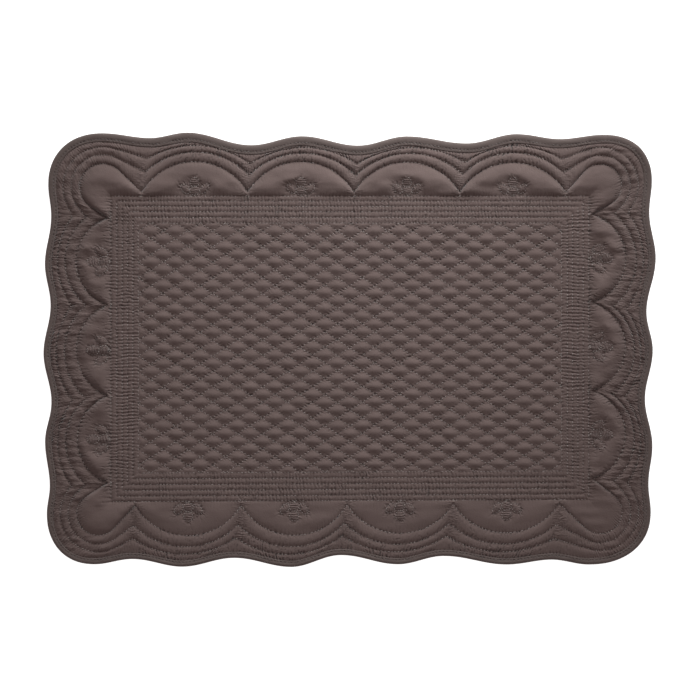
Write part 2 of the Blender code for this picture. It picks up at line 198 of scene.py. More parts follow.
STITCH = 2.7                  # from one needle hole to the next
STITCHES_A_SIDE = 4           # along one side of a diamond
BORDER_CLOSENESS = 1.07       # how much closer the holes of the border's rows are than they would be on the outline
STITCH_DRIFT = 0.45           # how far, in stitches, a row's holes stray from those of the next row
DRIFT_LENGTH = 6.5            # in stitches
HOLE_DEPTH = 0.42             # how far a needle hole pulls the cloth down below its row
HOLE_REACH = 2.6              # how far from its row that pull fades
BASE_REACH = 5.0              # and how far into a half-disc, from its straight side
HOLE_SHARPNESS = 1.4
HOLES = 4096                  # holes before their unevenness comes round again
SHARED_DEPTHS = (0.1, 0.75)   # least and most of a hole's depth that the neighbouring rows' holes share
OWN_DEPTHS = (0.0, 0.7)       # and of the depth that is its own
REACHES = (0.6, 1.6)          # least and most of a hole's reach
STRETCH_DEPTH = 0.55          # how much deeper and fainter whole stretches of a row are
STRETCH_LENGTH = 6.0          # in stitches


# ---- numbers and lines of points ---------------------------------------------------------------------------

def mix(start, end, share):
    return start + (end - start) * share


def ramp(value, start, length):
    """0 up to the start, and then up to 1 over this length."""
    return np.clip((value - start) / length, 0.0, 1.0)


def eased(share):
    return share * share * (3.0 - 2.0 * share)


def loft(width):
    """Rise of the top cloth in the middle of a puff of this width."""
    return FULL_LOFT * (1.0 - np.exp(-width / LOFT_WIDTH))


def reach(start, end):
    """Distances between matching points."""
    return np.hypot(*(np.asarray(end) - np.asarray(start)).T)


def running(steps):
    """How far the steps have come, from 0."""
    return np.concatenate([[0.0], np.cumsum(steps)])


def closed(ring):
    return np.vstack([ring, ring[:1]])


def walked(points):
    """Distance walked along a line of points at each of them."""
    return running(reach(points[:-1], points[1:]))


def points_at(places, known, points):
    """Points at these places on a line whose points have the known ones."""
    return np.column_stack([np.interp(places, known, points[:, axis]) for axis in (0, 1)])


def divided(points, shares):
    """Points at these shares of the length of a line of points."""
    length = walked(points)
    return points_at(np.asarray(shares) * length[-1], length, points)


NOISE_SIZE = 128


def unevenness(x, y, seed):
    """Soft humps and hollows between -1 and 1, about one to a unit each way."""
    table = np.random.default_rng(seed).uniform(-1.0, 1.0, (NOISE_SIZE, NOISE_SIZE))
    column, row = np.floor(x).astype(int), np.floor(y).astype(int)
    right, up = eased(x - column), eased(y - row)
    column, row = column % NOISE_SIZE, row % NOISE_SIZE
    after, above = (column + 1) % NOISE_SIZE, (row + 1) % NOISE_SIZE
    low = mix(table[column, row], table[after, row], right)
    high = mix(table[column, above], table[after, above], right)
    return mix(low, high, up)


def humps(points, length, width, seed):
    """Unevenness over the mat, in humps of about this many millimetres along it and across it."""
    return unevenness(points[..., 0] / length, points[..., 1] / width, seed)


# ---- the outline -------------------------------------------------------------------------------------------

def side_point(side, along, out):
    return (out, along) if side % 2 == 0 else (along, out)


def wave(side, start, end):
    """A soft rise or fall from one turn of the outline to the next, without its last point."""
    points = []
    for step in range(OUTLINE_STEPS):
        share = step / OUTLINE_STEPS
        risen = (1.0 - cos(pi * share)) / 2.0
        points.append(side_point(side, mix(start.along, end.along, share), mix(start.out, end.out, risen)))
    return points


def corner(side):
    """The rounded corner after a side, without its last point."""
    last = OUTLINE[side][-1]
    first = OUTLINE[(side + 1) % SIDES][0]
    middle = side_point(side, last.along, first.along)
    start = side_point(side, last.along, last.out)
    end = side_point(side + 1, first.along, first.out)
    points = []
    for step in range(OUTLINE_STEPS):
        angle = pi / 2.0 * step / OUTLINE_STEPS
        to_start = cos(angle) ** (2.0 / CORNER_SQUARENESS)
        to_end = sin(angle) ** (2.0 / CORNER_SQUARENESS)
        points.append(tuple(m + (a - m) * to_start + (b - m) * to_end for m, a, b in zip(middle, start, end)))
    return points


def sector_outline(side, valley):
    """The outline from one valley to the next, which the side's last valley has on the next side."""
    turns = OUTLINE[side][valley:valley + 3]
    points = wave(side, *turns[:2])
    if len(turns) == 3:
        points += wave(side, *turns[1:])
    else:
        points += corner(side)
        side = (side + 1) % SIDES
        turns = OUTLINE[side][:2]
        points += wave(side, *turns)
    return np.array(points + [side_point(side, turns[-1].along, turns[-1].out)])


def inset(ring, distance):
    """A closed ring of points moved inwards, by one distance or by one for each point."""
    run = np.roll(ring, -1, axis=0) - np.roll(ring, 1, axis=0)
    run /= np.hypot(*run.T)[:, None]
    return ring + np.column_stack([-run[:, 1], run[:, 0]]) * np.reshape(distance, (-1, 1))


# ---- the frame and the field -------------------------------------------------------------------------------

def frame_corners(row):
    """Its corners, from the bottom right one."""
    return np.array([
        (row.right, row.bottom + BOTTOM_DIP),
        (row.right, row.top),
        (row.left, row.top),
        (row.left, row.bottom - BOTTOM_DIP),
    ])


def frame_points(row, places):
    return points_at(np.asarray(places) % SIDES, np.arange(SIDES + 1), closed(frame_corners(row)))


def frame_lengths(row):
    """Lengths of its sides."""
    corners = frame_corners(row)
    return reach(corners, np.roll(corners, -1, axis=0))


CORNER_COUNTS = running(frame_lengths(MIDDLE_ROW) / STITCH)      # stitches sewn along the frame at each corner


def frame_stitches(row, places, points=None):
    """Stitches sewn along a row of the frame as far as each place, or as the points beside it there.

    The holes of neighbouring rows lie nearly side by side, so that the puckers between them join up.
    """
    places = np.asarray(places, dtype=float)
    points = frame_points(row, places) if points is None else points
    turns = np.floor(places / SIDES)
    side = np.floor(places - turns * SIDES).astype(int)
    run = np.sum((points - frame_corners(MIDDLE_ROW)[side]) * ONWARD[side], axis=-1) / STITCH
    drift = STITCH_DRIFT * unevenness(run / DRIFT_LENGTH + 11.3 * side, 0.8 * FRAME.index(row), 15)
    return run + CORNER_COUNTS[side] + turns * CORNER_COUNTS[-1] + drift


def cell_size():
    corners = frame_corners(FRAME[-1])
    return (corners[0][0] - corners[3][0]) / CELLS_ALONG, (corners[2][1] - corners[3][1]) / CELLS_ACROSS


CELL_LENGTH, CELL_WIDTH = cell_size()
DIAMOND_WIDTH = CELL_LENGTH * CELL_WIDTH / hypot(CELL_LENGTH, CELL_WIDTH)
FIELD_WANDER = 0.45           # how far the diamonds' rows stray from their ruled lines
WANDER_LENGTH = 21.0


def to_edge(u, v):
    """Half cells to the field's nearer upright edge, and to its nearer level one."""
    return np.minimum(u, 2 * CELLS_ALONG - u), np.minimum(v, 2 * CELLS_ACROSS - v)


def field_points(u, v):
    """Points of the diamond field, in half cells from its bottom left corner. Its edge stays straight."""
    bottom_right, top_right, top_left, bottom_left = frame_corners(FRAME[-1])
    across = (u / (2.0 * CELLS_ALONG))[..., None]
    along = (v / (2.0 * CELLS_ACROSS))[..., None]
    ruled = mix(mix(bottom_left, bottom_right, across), mix(top_left, top_right, across), along)
    stray = FIELD_WANDER * ramp(np.minimum(*to_edge(u, v)), 0.0, 2.0)
    return ruled + np.stack([stray * humps(ruled, WANDER_LENGTH, WANDER_LENGTH, seed) for seed in (11, 12)], axis=-1)


# ---- the border's sectors, one for each half-disc and corner -----------------------------------------------

def tip_place(side, turn):
    """Where along the frame's outer row a tip between two half-discs stands."""
    corners = frame_corners(FRAME[0])
    axis = 1 - side % 2
    start, end = corners[side][axis], corners[(side + 1) % SIDES][axis]
    return side + (turn.tip - start) / (end - start)


def bow(start, end, crown, shares):
    """Points on the round arc from start to end that is as high as crown at its middle."""
    chord = hypot(*(end - start))
    along = (end - start) / chord
    out = np.array([along[1], -along[0]])
    rise = float(np.dot(crown - start, out))
    radius = (chord * chord / 4.0 + rise * rise) / (2.0 * rise)
    half_angle = acos(1.0 - rise / radius)
    angles = half_angle * (2.0 * shares - 1.0)[:, None]
    return mix(start, end, 0.5) + along * radius * np.sin(angles) + out * (rise - radius * (1.0 - np.cos(angles)))


def round_the_corner(start, end, puff, radius, shares):
    """Points from start round a corner puff to end: straight to the round, along it, and straight again."""
    middle = np.array([puff.x, puff.y])
    first = atan2(*(start - middle)[::-1])
    last = atan2(*(end - middle)[::-1])
    last += 2.0 * pi * ceil((first - last) / (2.0 * pi))
    angles = np.linspace(first, last, 8 * OUTLINE_STEPS)
    reaches = np.full(len(angles), radius)
    for tip, turned in ((start, angles - first), (end, last - angles)):
        tip_reach = hypot(*(tip - middle))
        ease = acos(radius / tip_reach) if tip_reach > radius else CORNER_EASE
        left = ramp(ease - turned, 0.0, ease)
        if tip_reach > radius:
            reaches /= np.cos(ease * left)
        else:
            reaches -= (radius - tip_reach) * left * left
    line = middle + np.column_stack([np.cos(angles), np.sin(angles)]) * reaches[:, None]
    return divided(line, shares)


class Sector:
    """One slice of the border, from one tip to the next, with a half-disc or a corner's puff."""

    def __init__(self, side, valley):
        turns = OUTLINE[side]
        end_side = side
        self.side, self.out, self.along = side, OUTWARD[side], ONWARD[side]
        self.outline = sector_outline(side, valley)
        self.length = walked(self.outline)[-1]
        self.start = tip_place(side, turns[valley])
        self.is_corner = valley + 2 >= len(turns)
        if self.is_corner:
            self.puff = CORNER_PUFFS[side]
            end_side = (side + 1) % SIDES
            self.end = side + 1 + tip_place(end_side, OUTLINE[end_side][1]) - end_side
        else:
            self.end = tip_place(side, turns[valley + 2])
            self.foot = frame_points(FRAME[0], [(self.start + self.end) / 2.0])[0]
            self.crown = self.foot + self.out * turns[valley + 1].rise
        bases = frame_points(FRAME[0], [self.start, self.end])
        self.base = bases[0]
        self.tips = bases + OUTWARD[[side, end_side]] * TIP_RISE

    def places(self, shares):
        if not self.is_corner:
            return mix(self.start, self.end, shares)
        turned = self.side + 1
        before, after = mix(self.start, turned, 2.0 * shares), mix(turned, self.end, 2.0 * shares - 1.0)
        return np.where(shares < 0.5, before, after)

    def row(self, row, shares, free_ends, free_middle):
        """A border row's points. The free ones are on the line that the rows are measured to."""
        start, end = mix(self.tips, free_ends, row.at_tip)
        if self.is_corner:
            return round_the_corner(start, end, self.puff, self.puff.radius + row.corner_offset, shares)
        return bow(start, end, mix(self.crown, free_middle, row.at_crown), shares)


SECTORS = [Sector(side, valley) for side in range(SIDES) for valley in range(1, len(OUTLINE[side]) - 1, 2)]
BORDER_COUNTS = running([round(sector.length / STITCH * BORDER_CLOSENESS) for sector in SECTORS])
CORNER_SPAN = 0.1             # how far from a corner, in places, a side's value starts to change


def in_order(places, *columns):
    """A closed ring's columns, started at its first place past the bottom right corner."""
    places = np.concatenate(places) % SIDES
    order = np.argsort(places, kind="stable")
    return [places[order]] + [np.concatenate(column)[order] for column in columns]


def round_the_mat(places, values):
    """A value at each place, from one for each side and each corner, that changes only round the corners."""
    known, steps = [0.0], [values[-1]]
    for side in range(SIDES):
        known += [side + CORNER_SPAN, side + 1.0 - CORNER_SPAN, side + 1.0]
        steps += [values[2 * side], values[2 * side], values[2 * side + 1]]
    return np.interp(places, known, steps)


def border_stitches(shares_of):
    """Stitches sewn at each column of the border, the same on all its rows."""
    places, counts = [], []
    for sector, shares, start, end in zip(SECTORS, shares_of, BORDER_COUNTS, BORDER_COUNTS[1:]):
        place = sector.places(shares)[:-1]
        count = mix(start, end, shares[:-1])
        count = count + STITCH_DRIFT * unevenness(count / 4.0, 0.0, 16)
        places.append(place)
        counts.append(np.where(place >= SIDES, count - BORDER_COUNTS[-1], count))
    return in_order(places, counts)[1]


class Border:
    """The border's rows as closed rings, with a column every so far along the outline."""

    def __init__(self, column, under=False):
        shares_of = [np.linspace(0.0, 1.0, 2 * ceil(sector.length / column / 2.0) + 1) for sector in SECTORS]
        pieces = [divided(sector.outline, shares)[:-1] for sector, shares in zip(SECTORS, shares_of)]
        free = inset(np.vstack(pieces), TOP_FREE)
        places, rows = [], []
        first = 0
        for sector, shares, piece in zip(SECTORS, shares_of, pieces):
            last = first + len(piece)
            ends, middle = free[[first, last % len(free)]], free[(first + last) // 2]
            places.append(sector.places(shares)[:-1])
            rows.append([sector.row(row, shares, ends, middle)[:-1] for row in BORDER_ROWS])
            first = last
        self.places, self.outline, *rows = in_order(places, pieces, *zip(*rows))
        self.rows = rows + [inset(self.outline, UNDER_EDGE) if under else self.bound(BINDING_EDGE)]
        self.stitches = border_stitches(shares_of)

    def bound(self, distance):
        """The outline moved inwards by this distance across the binding's upper leaf."""
        return inset(self.outline, distance * round_the_mat(self.places, BINDING_SHOWN))


# ---- how the cloth is drawn in -----------------------------------------------------------------------------

def pucker(stitches, away, seed, fade):
    """How far a row's needle holes draw the cloth down at this distance from the row, some more than others."""
    shared = np.random.default_rng(5).uniform(*SHARED_DEPTHS, HOLES)
    own = np.random.default_rng(seed).uniform(*OWN_DEPTHS, HOLES)
    reaches = np.random.default_rng(seed + 1).uniform(*REACHES, HOLES)
    number = np.round(stitches).astype(int) % HOLES
    stretch = 1.0 + STRETCH_DEPTH * unevenness(stitches / STRETCH_LENGTH, 0.31 * seed, 17)
    hole = (0.5 + 0.5 * np.cos(2.0 * pi * stitches)) ** HOLE_SHARPNESS
    return HOLE_DEPTH * stretch * (shared + own)[number] * hole * np.exp(-away / (fade * reaches[number]))


FOLD_X = 3.6                  # the crease that storing the mat folded in half left
FOLD_DEPTH = 0.45
FOLD_WIDTH = 1.6
FOLD_STRAY = 1.6
LIP_HEIGHT = 0.5              # the raised lip beside it, as a share of its depth
LIP_AWAY = 3.0
LIP_WIDTH = 1.8


def fold_crease(points):
    y = points[..., 1]
    away = points[..., 0] - FOLD_X - FOLD_STRAY * unevenness(y / 40.0, 0.0, 31)
    depth = FOLD_DEPTH * (0.7 + 0.3 * unevenness(y / 9.0, 0.0, 32))
    return depth * (np.exp(-(away / FOLD_WIDTH) ** 2) - LIP_HEIGHT * np.exp(-((away - LIP_AWAY) / LIP_WIDTH) ** 2))


Humps = namedtuple("Humps", "share length width seed")
CRUMPLES = (Humps(0.55, 7.0, 6.0, 41), Humps(0.3, 3.4, 3.0, 42), Humps(0.15, 1.7, 1.6, 43))


def crumple(points, amount):
    """The unevenness of washed cotton, in humps of several sizes."""
    return amount * sum(share * humps(points, length, width, seed) for share, length, width, seed in CRUMPLES)


FOLD_HEIGHT = 0.62            # of the folds that the quilting drags across the border on the mat's short sides
LEVEL_FOLDS = 0.32            # share of that height along its long sides
FOLDED_SIDE = 172.0           # how far to each side the higher folds start
FOLDED_OVER = 15.0            # and over how far they rise


def drag_folds(points, broad_share, narrow_share):
    """Those folds: long, low and nearly level, some broad and some narrow."""
    x, y = points[..., 0], points[..., 1]
    broad = unevenness(x / 17.0 + y / 21.0, y / 4.4, 47)
    narrow = unevenness(x / 9.0 - y / 15.0, y / 1.6, 48)
    height = mix(LEVEL_FOLDS, 1.0, ramp(np.abs(x), FOLDED_SIDE, FOLDED_OVER))
    return FOLD_HEIGHT * height * (broad_share * broad + narrow_share * narrow)


CREASE_WIDTH = 5.5            # half the width of the creased cloth between two half-discs
CREASE_START = -4.0           # it starts this far out from the frame's outer row
CREASE_LENGTH = 32.0          # and ends this far out
CREASE_FADE = 6.0


def creased(points):
    """How creased the cloth is, from 0 to 1: most where the rows of two half-discs meet."""
    share = np.zeros(len(points))
    for sector in SECTORS:
        across, far = (points - sector.base) @ sector.along, (points - sector.base) @ sector.out
        here = np.exp(-(across / CREASE_WIDTH) ** 2) * ramp(far, CREASE_START, -CREASE_START)
        share = np.maximum(share, here * ramp(CREASE_LENGTH - far, 0.0, CREASE_FADE))
    return share


CURL = 2.6                    # how far the tip of the mat's top right corner has lifted off the table
CURL_REACH = 37.0             # and how far in from there that starts
CURL_TIP = (226.0, 158.0)


def lifted(points):
    """How far the mat has lifted off the table at its top right corner."""
    return CURL * ramp(CURL_REACH - reach(points, CURL_TIP), 0.0, CURL_REACH) ** 2


# ---- the flowers in the half-discs -------------------------------------------------------------------------

# A flower's lines, as ellipses: a petal outwards, one on each side, and a ring between them.
Petal = namedtuple("Petal", "along out half_width half_length lean")
FLOWER = (
    Petal(0.0, 12.2, 3.6, 4.4, 0.0),
    Petal(-7.3, 6.4, 2.9, 4.9, 36.0),
    Petal(7.3, 6.4, 2.9, 4.9, -36.0),
    Petal(0.0, 4.8, 3.8, 4.0, 0.0),
)
HALF_FLOWER = (FLOWER[0], FLOWER[2], FLOWER[3])        # enough where the distance along isn't signed
FLOWER_LENGTH = (1.12, 0.88, 1.12, 0.96)               # share of the outward sizes on each side of the mat
PETAL_STEPS = 40
PETAL_RISE = 0.75             # a petal's own small puff
GROOVE = 0.9                  # half the width of a line of the flower
GROOVE_DEPTH = 0.45
FLOWER_RISE = 6.0             # where the middle is of the cloth that a flower holds down
FLOWER_WIDTH = 13.8           # half the width of that cloth
FLOWER_HEIGHT = 11.0          # and half its height
FLOWER_HOLD = 0.62            # share of the rise that it loses
FLOWER_UNEVEN = 0.22
NO_FLOWER = 60.0              # a distance beyond all flowers


def flower_place(points):
    """Distance along and out from the foot of the nearest flower."""
    place = np.full((len(points), 2), NO_FLOWER)
    for sector in SECTORS:
        if not sector.is_corner:
            here = points - sector.foot
            local = np.column_stack([np.abs(here @ sector.along), here @ sector.out / FLOWER_LENGTH[sector.side]])
            nearer = np.hypot(*local.T) < np.hypot(*place.T)
            place[nearer] = local[nearer]
    return place


def petal_place(petal, along, out):
    """Place across and along a petal, as shares of its half sizes. Works on arrays and in a material alike."""
    lean = radians(petal.lean)
    sideways, outwards = along - petal.along, out - petal.out
    across = sideways * cos(lean) + outwards * sin(lean)
    far = outwards * cos(lean) - sideways * sin(lean)
    return across / petal.half_width, far / petal.half_length


def petal_line(petal, across, far):
    """Distance from a petal's line at such a place."""
    return abs((across * across + far * far) ** 0.5 - 1.0) * petal.half_width


def flower_relief(points, rise):
    """A half-disc's rise with its flower sewn in: held down all round it, with a small puff in each petal."""
    along, out = flower_place(points).T
    stray = 1.0 + FLOWER_UNEVEN * humps(points, 9.0, 9.0, 45)
    away = np.hypot(along / FLOWER_WIDTH, (out - FLOWER_RISE) / FLOWER_HEIGHT) * stray
    rise = rise * (1.0 - FLOWER_HOLD * np.exp(-away ** 6))
    puff, line = 0.0, NO_FLOWER
    for petal in HALF_FLOWER:
        across, far = petal_place(petal, along, out)
        puff = np.maximum(puff, PETAL_RISE * np.sqrt(ramp(1.0 - across * across - far * far, 0.0, 1.0)))
        line = np.minimum(line, petal_line(petal, across, far))
    return rise + puff - GROOVE_DEPTH * np.exp(-(line / GROOVE) ** 2)


# ---- the mesh under way ------------------------------------------------------------------------------------

# The fine puckers' depth, as a share of the material's, how far they reach from their row, and how much of the
# material's creases crosses them on the mat's short sides.
Puckers = namedtuple("Puckers", "depth reach creases")
NO_PUCKERS = Puckers(0.0, 1.0, 0.0)
FIELD_PUCKERS = Puckers(0.85, 1.3, 0.0)
FRAME_PUCKERS = Puckers(0.72, 3.3, 0.0)
DISC_PUCKERS = Puckers(1.25, 4.0, 0.12)
CHANNEL_PUCKERS = Puckers(1.35, 2.6, 0.66)
BINDING_PUCKERS = Puckers(0.12, 1.5, 0.0)
BINDING_SEAM = Puckers(0.8, 1.1, 0.0)
SEAM_REACH = 0.7              # how far from the binding's stitches those of its seam are
CREASED_SIDE = 188.0          # how far to each side of the middle the short sides' creases start
CREASED_SIDE_FADE = 20.0
CREASED_END = 146.0           # and how far from it they end, towards the long sides
CREASED_END_FADE = 14.0
CORNER_FADE = 0.012           # how far from the frame's corners, in places, its puckers are at their full depth
FAR_OFF = 50.0                # a distance beyond all puckers

# A closed ring of the mesh: its vertices, their places round the mat, how each lies to the rows of quilting on its
# two sides, and the stitches once round each of the two.
Ring = namedtuple("Ring", "vertices places near far turns")


def beside(stitches, away):
    """How points lie to a row of quilting: stitches sewn along it so far, and distance from it."""
    return np.column_stack(np.broadcast_arrays(stitches, away))


def scaled(puckers, depths):
    """The puckers at each of some points, with these shares of their depth."""
    each = np.tile(puckers, (len(depths), 1))
    each[:, 0] *= depths
    return each


def corner_fade(places):
    """Share of the frame's puckers, which die away where two sides' puckers would cross."""
    return ramp(np.abs(places - np.round(places)), 0.0, CORNER_FADE)


def zipped(first, second):
    """Columns of the triangles between two rings with these places, with two corners on the first or the second."""
    ends_one, ends_two = np.append(first[1:], first[0] + SIDES), np.append(second[1:], second[0] + SIDES)
    on_first, on_second = [], []
    a = b = 0
    while a < len(first) or b < len(second):
        if b == len(second) or (a < len(first) and ends_one[a] <= ends_two[b]):
            on_first.append((a, b, a + 1))
            a += 1
        else:
            on_second.append((a, b, b + 1))
            b += 1
    return np.array(on_first), np.array(on_second)


class Cloth:
    """A mesh under way. Its corners carry the two rows of quilting that they lie between."""

    def __init__(self):
        self.under = False
        self.count = 0
        self.points, self.puckers, self.triangles, self.sewing = [], [], [], []

    def add(self, points, heights, puckers):
        """Vertices, with the fine puckers that the mesh leaves to the material."""
        points = np.asarray(points).reshape(-1, 2)
        self.points.append(np.column_stack([points, heights + lifted(points)]))
        self.puckers.append(np.broadcast_to(puckers, (len(points), len(Puckers._fields))))
        first = self.count
        self.count += len(points)
        return np.arange(first, self.count)

    def faces(self, vertices, sewing):
        """Triangles, with the sewing of each of their corners."""
        if self.under:
            vertices, sewing = vertices[:, ::-1], sewing[:, ::-1]
        self.triangles.append(vertices)
        self.sewing.append(sewing)

    @staticmethod
    def corners(ring, columns):
        """Vertices and sewing of a ring's columns, which may run on past its end."""
        wrapped, columns = np.divmod(columns, len(ring.vertices))
        sewing = np.column_stack([ring.near[columns], ring.far[columns]])
        sewing[:, 0] += wrapped * ring.turns[0]
        sewing[:, 2] += wrapped * ring.turns[1]
        return ring.vertices[columns], sewing

    def join(self, first, second):
        """Triangles between two closed rings, the second outside the first or below it."""
        if len(first.places) == len(second.places) and np.allclose(first.places, second.places):
            here = np.arange(len(first.places))
            on_first, on_second = np.stack([here, here, here + 1], 1), np.stack([here + 1, here, here + 1], 1)
        else:
            on_first, on_second = zipped(first.places, second.places)
        for columns, third in ((on_first, first), (on_second, second)):
            found = [self.corners(ring, column) for ring, column in zip((first, second, third), columns.T)]
            self.faces(np.column_stack([item[0] for item in found]), np.stack([item[1] for item in found], axis=1))

    def plain_ring(self, places, points, heights):
        """A closed ring away from any row of quilting."""
        away = beside(0.0, np.full(len(points), FAR_OFF))
        return Ring(self.add(points, heights, NO_PUCKERS), places, away, away, (0, 0))


def added(name, data):
    item = bpy.data.objects.new(name, data)
    bpy.context.scene.collection.objects.link(item)
    return item


def mesh_object(name, points, faces, material):
    mesh = bpy.data.meshes.new(name)
    mesh.from_pydata((points * MILLIMETRE).tolist(), [], faces.tolist())
    mesh.materials.append(material)
    mesh.shade_smooth()
    return added(name, mesh)


def finished(cloth, name, material):
    """The object of a mesh under way. UV maps keep each corner's two rows, which the material's puckers follow."""
    points = np.vstack(cloth.points)
    item = mesh_object(name, points, np.vstack(cloth.triangles), material)
    sewing = np.vstack(cloth.sewing).reshape(-1, 4)
    for layer_name, columns in (("row_near", (0, 1)), ("row_far", (2, 3))):
        layer = item.data.uv_layers.new(name=layer_name)
        layer.data.foreach_set("uv", sewing[:, columns].astype(np.float32).ravel())
    depth, pucker_reach, creases = np.vstack(cloth.puckers).T
    x, y = np.abs(points[:, 0]), np.abs(points[:, 1])
    creases = creases * ramp(x, CREASED_SIDE, CREASED_SIDE_FADE) * ramp(CREASED_END - y, 0.0, CREASED_END_FADE)
    along, out = flower_place(points[:, :2]).T
    for attribute, values in (
        ("pucker_depth", depth),
        ("pucker_reach", pucker_reach),
        ("flower_along", along),
        ("flower_out", out),
        ("creased", np.maximum(creased(points[:, :2]), creases)),
    ):
        layer = item.data.attributes.new(attribute, "FLOAT", "POINT")
        layer.data.foreach_set("value", values.astype(np.float32))
    return item


# ---- the quilted cloth, a face at a time -------------------------------------------------------------------

FIELD_FULLNESS = 0.64         # rise of the puffs, as a share of their loft
FRAME_FULLNESS = 0.32         # less, because the close rows flatten the wadding
DISC_FULLNESS = Round(1.0, 0.95, 0.9, 1.1, 1.0, 0.85, 0.3, 0.3)
CHANNEL_FULLNESS = Round(0.62, 0.6, 0.72, 0.75, 0.62, 0.5, 0.42, 0.35)
DISC_DRAG = Round(0.85, 0.35, 0.85, 0.25, 0.85, 0.3, 0.38, 0.25)           # height of the half-discs' soft folds
CHANNEL_PULL = Round(1.0, 0.5, 1.0, 0.4, 1.0, 0.55, 0.9, 0.5)              # share of the needle holes' depth
LEVEL_PULL = 0.25             # how much of the frame's puckers runs into the top and bottom half-discs
FLANGE = 0.06                 # share of the way to a diamond's middle that lies flat beside its seam
HELD_EDGE = 1.3               # how far from the field's edge the frame holds the diamonds down
CREASE_FLATNESS = 0.22        # share of a channel's rise that is lost where it is creased
CREASE_CRUMPLE = 1.8          # how much more the cloth is crumpled there
FIELD_CRUMPLE, FRAME_CRUMPLE, DISC_CRUMPLE, CHANNEL_CRUMPLE, ROW_CRUMPLE = 0.16, 0.22, 0.3, 0.42, 0.14
FRAME_SQUARENESS, DISC_SQUARENESS, CHANNEL_SQUARENESS = 3.2, 2.1, 2.6      # how flat-topped their puffs are
FRAME_PRESS, DISC_PRESS, CHANNEL_PRESS = 2.0, 2.9, 2.0      # rise of the puffs that press the backing right down
FRAME_SEED, BORDER_SEED = 50, 60                            # of the first row's holes, and one more for each row on
DISC_SEEDS = (FRAME_SEED + len(FRAME) - 1, BORDER_SEED)     # of the rows inside and outside the half-discs
DISC_AWAY = 20.0              # how far away the row on a half-disc's other side counts as


def top_height(points, rise, near, far, seeds, amount, fades=(HOLE_REACH, HOLE_REACH), pulls=(1.0, 1.0)):
    """Height of the top cloth: its puff, drawn down by the stitches on both sides, and crumpled."""
    amount = amount * (1.0 + CREASE_CRUMPLE * creased(points))
    height = STITCH_HEIGHT + rise + crumple(points, amount) * np.clip(rise, 0.3, 1.0)
    for (stitches, away), seed, fade, pull in zip((near.T, far.T), seeds, fades, pulls):
        height -= pull * pucker(stitches, away, seed, fade)
    return height - fold_crease(points)


def under_height(rise, full):
    """Height of the backing, which the rows pull up and the puffs press down."""
    return UNDER_LIFT * (1.0 - ramp(rise, 0.0, full))


def puff_profile(share, power):
    return 1.0 - np.abs(2.0 * share - 1.0) ** power


def diamond_profile(share):
    """A diamond's rise from one of its seams, at 0, to its middle, at 1."""
    share = ramp(share, FLANGE, 1.0 - FLANGE)
    return mix(1.0 - (1.0 - share) ** 2.2, eased(share), 0.5)


def evenly(counts):
    """The places of a ring with this many columns on each side."""
    return np.concatenate([side + np.arange(count) / count for side, count in enumerate(counts)])


def add_field(cloth, detail):
    """The diamonds. Returns the vertices of their outer edge, and those vertices' places."""
    steps = detail.cell
    columns, rows = 2 * CELLS_ALONG * steps, 2 * CELLS_ACROSS * steps
    i, j = np.meshgrid(np.arange(columns + 1), np.arange(rows + 1), indexing="ij")
    u, v = i / steps, j / steps
    points = field_points(u, v)
    rising, falling = u + v, u - v
    across_one, across_two = np.abs(rising % 2.0 - 1.0), np.abs(falling % 2.0 - 1.0)
    near = beside((falling * STITCHES_A_SIDE / 2.0).ravel(), (across_one * DIAMOND_WIDTH / 2.0).ravel())
    far = beside((rising * STITCHES_A_SIDE / 2.0).ravel(), (across_two * DIAMOND_WIDTH / 2.0).ravel())
    sideways, upwards = to_edge(u, v)
    held = 1.0 - np.exp(-np.minimum(sideways * CELL_LENGTH / 2.0, upwards * CELL_WIDTH / 2.0) / HELD_EDGE)
    own = np.round(rising / 2.0) * 7.13 + np.round(falling / 2.0) * 3.71          # a number of each diamond's own
    fullness = 1.0 + 0.22 * unevenness(own, own * 0.37, 21)
    rise = FIELD_FULLNESS * loft(DIAMOND_WIDTH) * fullness * held
    rise = (rise * diamond_profile(across_one) * diamond_profile(across_two)).ravel()
    if cloth.under:
        heights = under_height(rise, loft(DIAMOND_WIDTH))
    else:
        flat = points.reshape(-1, 2)
        heights = STITCH_HEIGHT + rise + crumple(flat, FIELD_CRUMPLE) * np.clip(rise, 0.2, 1.0)
        heights = heights - fold_crease(flat) * held.ravel()
    vertices = cloth.add(points, heights, FIELD_PUCKERS).reshape(columns + 1, rows + 1)
    low_left, low_right = vertices[:-1, :-1].ravel(), vertices[1:, :-1].ravel()
    high_left, high_right = vertices[:-1, 1:].ravel(), vertices[1:, 1:].ravel()
    middle_one = np.abs(rising[:-1, :-1].ravel() + 1.0 / steps) % 2.0
    middle_two = falling[:-1, :-1].ravel() % 2.0
    falls = np.abs(middle_one - 1.0) < np.abs(middle_two - 1.0)
    sewing = np.column_stack([near, far])
    for chosen, split in (
        (falls, ((low_left, low_right, high_left), (low_right, high_right, high_left))),
        (~falls, ((low_left, low_right, high_right), (low_left, high_right, high_left))),
    ):
        for triangle in split:
            corners = np.column_stack([side[chosen] for side in triangle])
            cloth.faces(corners, sewing[corners - vertices[0, 0]])
    right, top, left, bottom = vertices[-1], vertices[::-1, -1], vertices[0, ::-1], vertices[:, 0]
    return np.concatenate([side[:-1] for side in (right, top, left, bottom)]), evenly((rows, columns) * 2)


def add_bands(cloth, ring, places, inner, outer, shares, near_of, far_of, puckers, height_of):
    """Rings at these shares of the way from one row to the next. near_of and far_of give stitches sewn on the two."""
    width = reach(inner, outer)
    for share in shares:
        points = mix(inner, outer, share)
        near, far = beside(near_of(points), width * share), beside(far_of(points), width * (1.0 - share))
        vertices = cloth.add(points, height_of(points, width, share, near, far), puckers)
        following = Ring(vertices, places, near, far, ring.turns)
        cloth.join(ring, following)
        ring = following
    return ring


